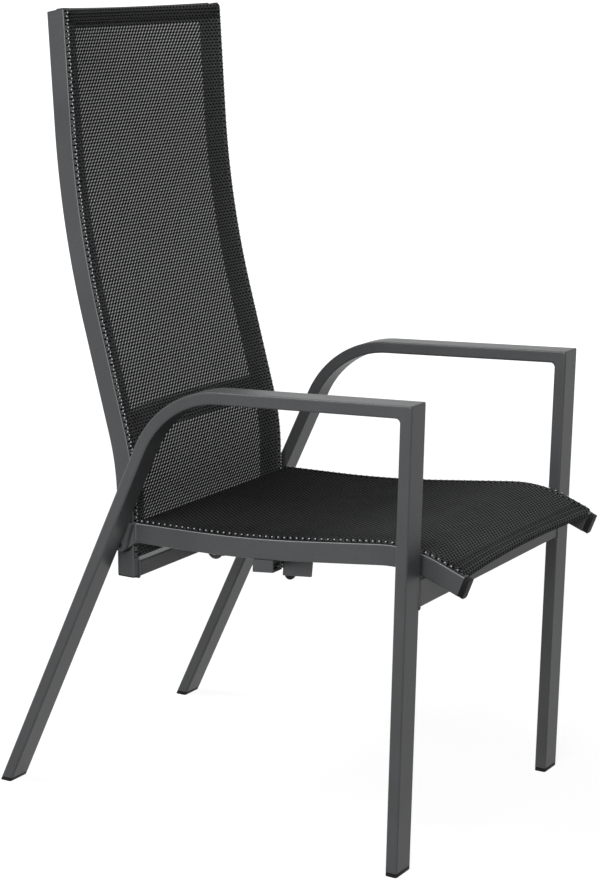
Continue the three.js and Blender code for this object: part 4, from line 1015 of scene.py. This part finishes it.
def addBackSling():
    half = backFrame["width"] / 2 - sling["edgeMargin"]
    corners = [corner.copy() for corner in backMiddle]
    corners[0] = corners[0] + upward * sling["backRise"]
    topWay = unit(corners[-1] - corners[-2])
    corners[-1] = corners[-1] - topWay * sling["backDrop"]
    path = resample(bentPath(corners, backFrame["radii"], across, arcSteps=40), sling["backRows"])
    along, height = path["along"], path["points"][:, 2]
    xs = slingColumns(half)[None, :] + np.zeros((len(along), 1))
    free = backInnerX - fitGap
    inner = clamp(1 - (xs / free) ** 2)
    bowStart = backFrame["footHeight"] + sum(backFrame["lengths"][:2])
    bow = backFrame["topBarBow"] * clamp((height - bowStart) / (height[-1] - bowStart)) ** 2
    slack = sling["sag"] * np.sin(along / along[-1] * math.pi)
    fromTop = along[-1] - along
    inward = half - np.abs(xs)
    edgeFade = clamp(np.minimum(fromTop, along) / sling["endFade"] + sling["backEdgeStart"])
    base = rail["depth"] / 2 + fitGap + sling["thickness"]
    folds = np.maximum(foldHeight(fromTop, sling["topFolds"]), foldHeight(along, sling["bottomFolds"]))
    depth = -base - clothLift(inward, edgeFade, folds) + (bow + slack)[:, None] * inner
    grid = path["points"][:, None] + xs[..., None] * across + depth[..., None] * path["rises"][:, None]
    single = pastFolds(fromTop, "topFolds") * pastFolds(along, "bottomFolds")
    opened = pastHem(inward) * single[:, None]
    # painted shade in the grooves between the top's padded bands
    obj = clothMesh("backSlingCloth", grid, xs, along, opened,
                    grooveShade(fromTop, sling["topFolds"])[:, None], 0.0)
    finishPiece(obj, "backrest", slingCloth, ["back_sling"])
    seam = edgeSeams("backEdgeStitches", path, half, "backrest", base, -1, sling["backStitches"])
    ends = free - sling["backSeamClear"]
    topSeam, lowSeam = (foldSeams(name, grid, xs, ends, distance, sling[rows], -path["rises"], "backrest")
                        for name, distance, rows in (("backTopStitches", fromTop, "topFolds"),
                                                     ("backFootStitches", along, "bottomFolds")))


def addSeatSling():
    half = seatFrame["width"] / 2 - sling["edgeMargin"]
    free = seatInnerX - fitGap
    lift = rail["depth"] / 2 + fitGap + sling["thickness"]
    over, radii = offsetRun(seatMiddle, seatFrame["radii"], lift)
    wrap = seatFrame["frontBarThickness"] / 2 + fitGap + sling["thickness"]
    ahead = wrap - seatFrame["frontBarSetback"] - seatFrame["frontBarThickness"] / 2
    nose = over[-1] + frontWay * ahead
    under = nose - frontRise * 2 * wrap
    end = under - frontWay * (sling["seatReturn"] + wrap)
    path = bentPath(over[:-1] + [nose, under, end], radii + [wrap, wrap], across, arcSteps=16)
    path = resample(path, sling["seatRows"])
    along, points = path["along"], path["points"]
    turned = int(np.argmax(along > along[-1] - sling["seatReturn"] - wrap * math.pi + 0.0005))
    upper = np.arange(len(along)) < turned
    width = np.where(upper, half, free - sling["returnInset"])
    xs = slingColumns(half)[None, :] * (width / half)[:, None]
    inner = clamp(1 - (xs / free) ** 2)
    distance = (nose - points) @ frontWay
    pull = seatFrame["frontBarBow"] * clamp(1 - distance / seatFrame["lengths"][2]) ** 2
    slack = sling["sag"] * np.sin(clamp(along / along[turned]) * math.pi)
    fromFront = np.abs(along[turned] - along)
    inward = half - np.abs(xs)
    toEnd = np.minimum(along[turned] - along, along)
    edgeFade = clamp(toEnd / sling["endFade"] + sling["seatEdgeStart"]) * upper
    folds = foldHeight(fromFront, sling["frontFolds"]) * upper
    lifted = clothLift(inward, edgeFade, folds) - slack[:, None] * inner
    grid = points[:, None] + xs[..., None] * across + lifted[..., None] * path["rises"][:, None]
    grid = grid - (pull[:, None] * inner)[..., None] * frontWay
    opened = sling["seatOpen"] * pastHem(inward) * (pastFolds(fromFront, "frontFolds") * upper)[:, None]
    # painted shade: the seat's cloth darkens towards the rear and lightens at the front
    low, high = sling["seatShade"]
    shade = (high + (low - high) * clamp(distance / sling["seatShadeReach"]))[:, None]
    # painted shade in the grooves between the front's padded bands
    grooves = grooveShade(fromFront, sling["frontFolds"])
    # painted light: hiddenShade lightens the cloth turned under the front
    shade = shade * np.where(upper, grooves, sling["hiddenShade"])[:, None]
    # painted shade: seatHole paints the seat's slits dark
    obj = clothMesh("seatSlingCloth", grid, xs, along, opened, shade, sling["seatHole"])
    finishPiece(obj, "frame", slingCloth, ["seat_sling"])
    top = {key: value[:turned] for key, value in path.items() if key != "side"}
    seam = edgeSeams("seatEdgeStitches", top, half, "frame", 0, 1, sling["seatStitches"])
    hem = foldSeams("seatFrontStitches", grid[:turned], xs[:turned], free - sling["seamClear"],
                    fromFront[:turned], sling["frontFolds"], path["rises"][:turned], "frame")


say("slings")
addBackSling()
addSeatSling()

smallPieces = {"bevel": 0.0007, "sharpDegrees": 30, "flatDegrees": 1, "mergeDistance": 0.00001}


def dressNode(name, body, slotName):
    # a copy of a CAD node with its points merged and its edges eased, in the node's own place
    source = nodes[name]
    mesh = source.data.copy()
    work = bmesh.new()
    work.from_mesh(mesh)
    bmesh.ops.remove_doubles(work, verts=work.verts, dist=smallPieces["mergeDistance"])
    flat = math.radians(smallPieces["flatDegrees"])
    bmesh.ops.dissolve_limit(work, angle_limit=flat, verts=work.verts, edges=work.edges)
    work.to_mesh(mesh)
    work.free()
    mesh.shade_smooth()
    mesh.set_sharp_from_angle(angle=math.radians(smallPieces["sharpDegrees"]))
    obj = linked(f"{name}_dressed", mesh)
    bevel = obj.modifiers.new("eased", "BEVEL")
    bevel.width, bevel.segments = smallPieces["bevel"], 2
    bevel.limit_method, bevel.angle_limit = "ANGLE", math.radians(smallPieces["sharpDegrees"])
    bevel.harden_normals = True
    material = weldCoat if name.startswith("hinge_bracket") else finishOfSlot[slotName]
    return finishPiece(obj, body, material, [name], modelled=False)


def dressTheRest():
    record = frame["record"]
    slotOf = {part["node"]: part["material_slot"] for part in record["subparts"]}
    bodyOf = {node: body for body, members in record["behaviour"]["bodies"].items() for node in members}
    for name in sorted(nodes):
        if not nodes[name].hide_render:
            dressNode(name, bodyOf[name], slotOf[name])


say("small pieces")
dressTheRest()

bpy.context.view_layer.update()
say("done")
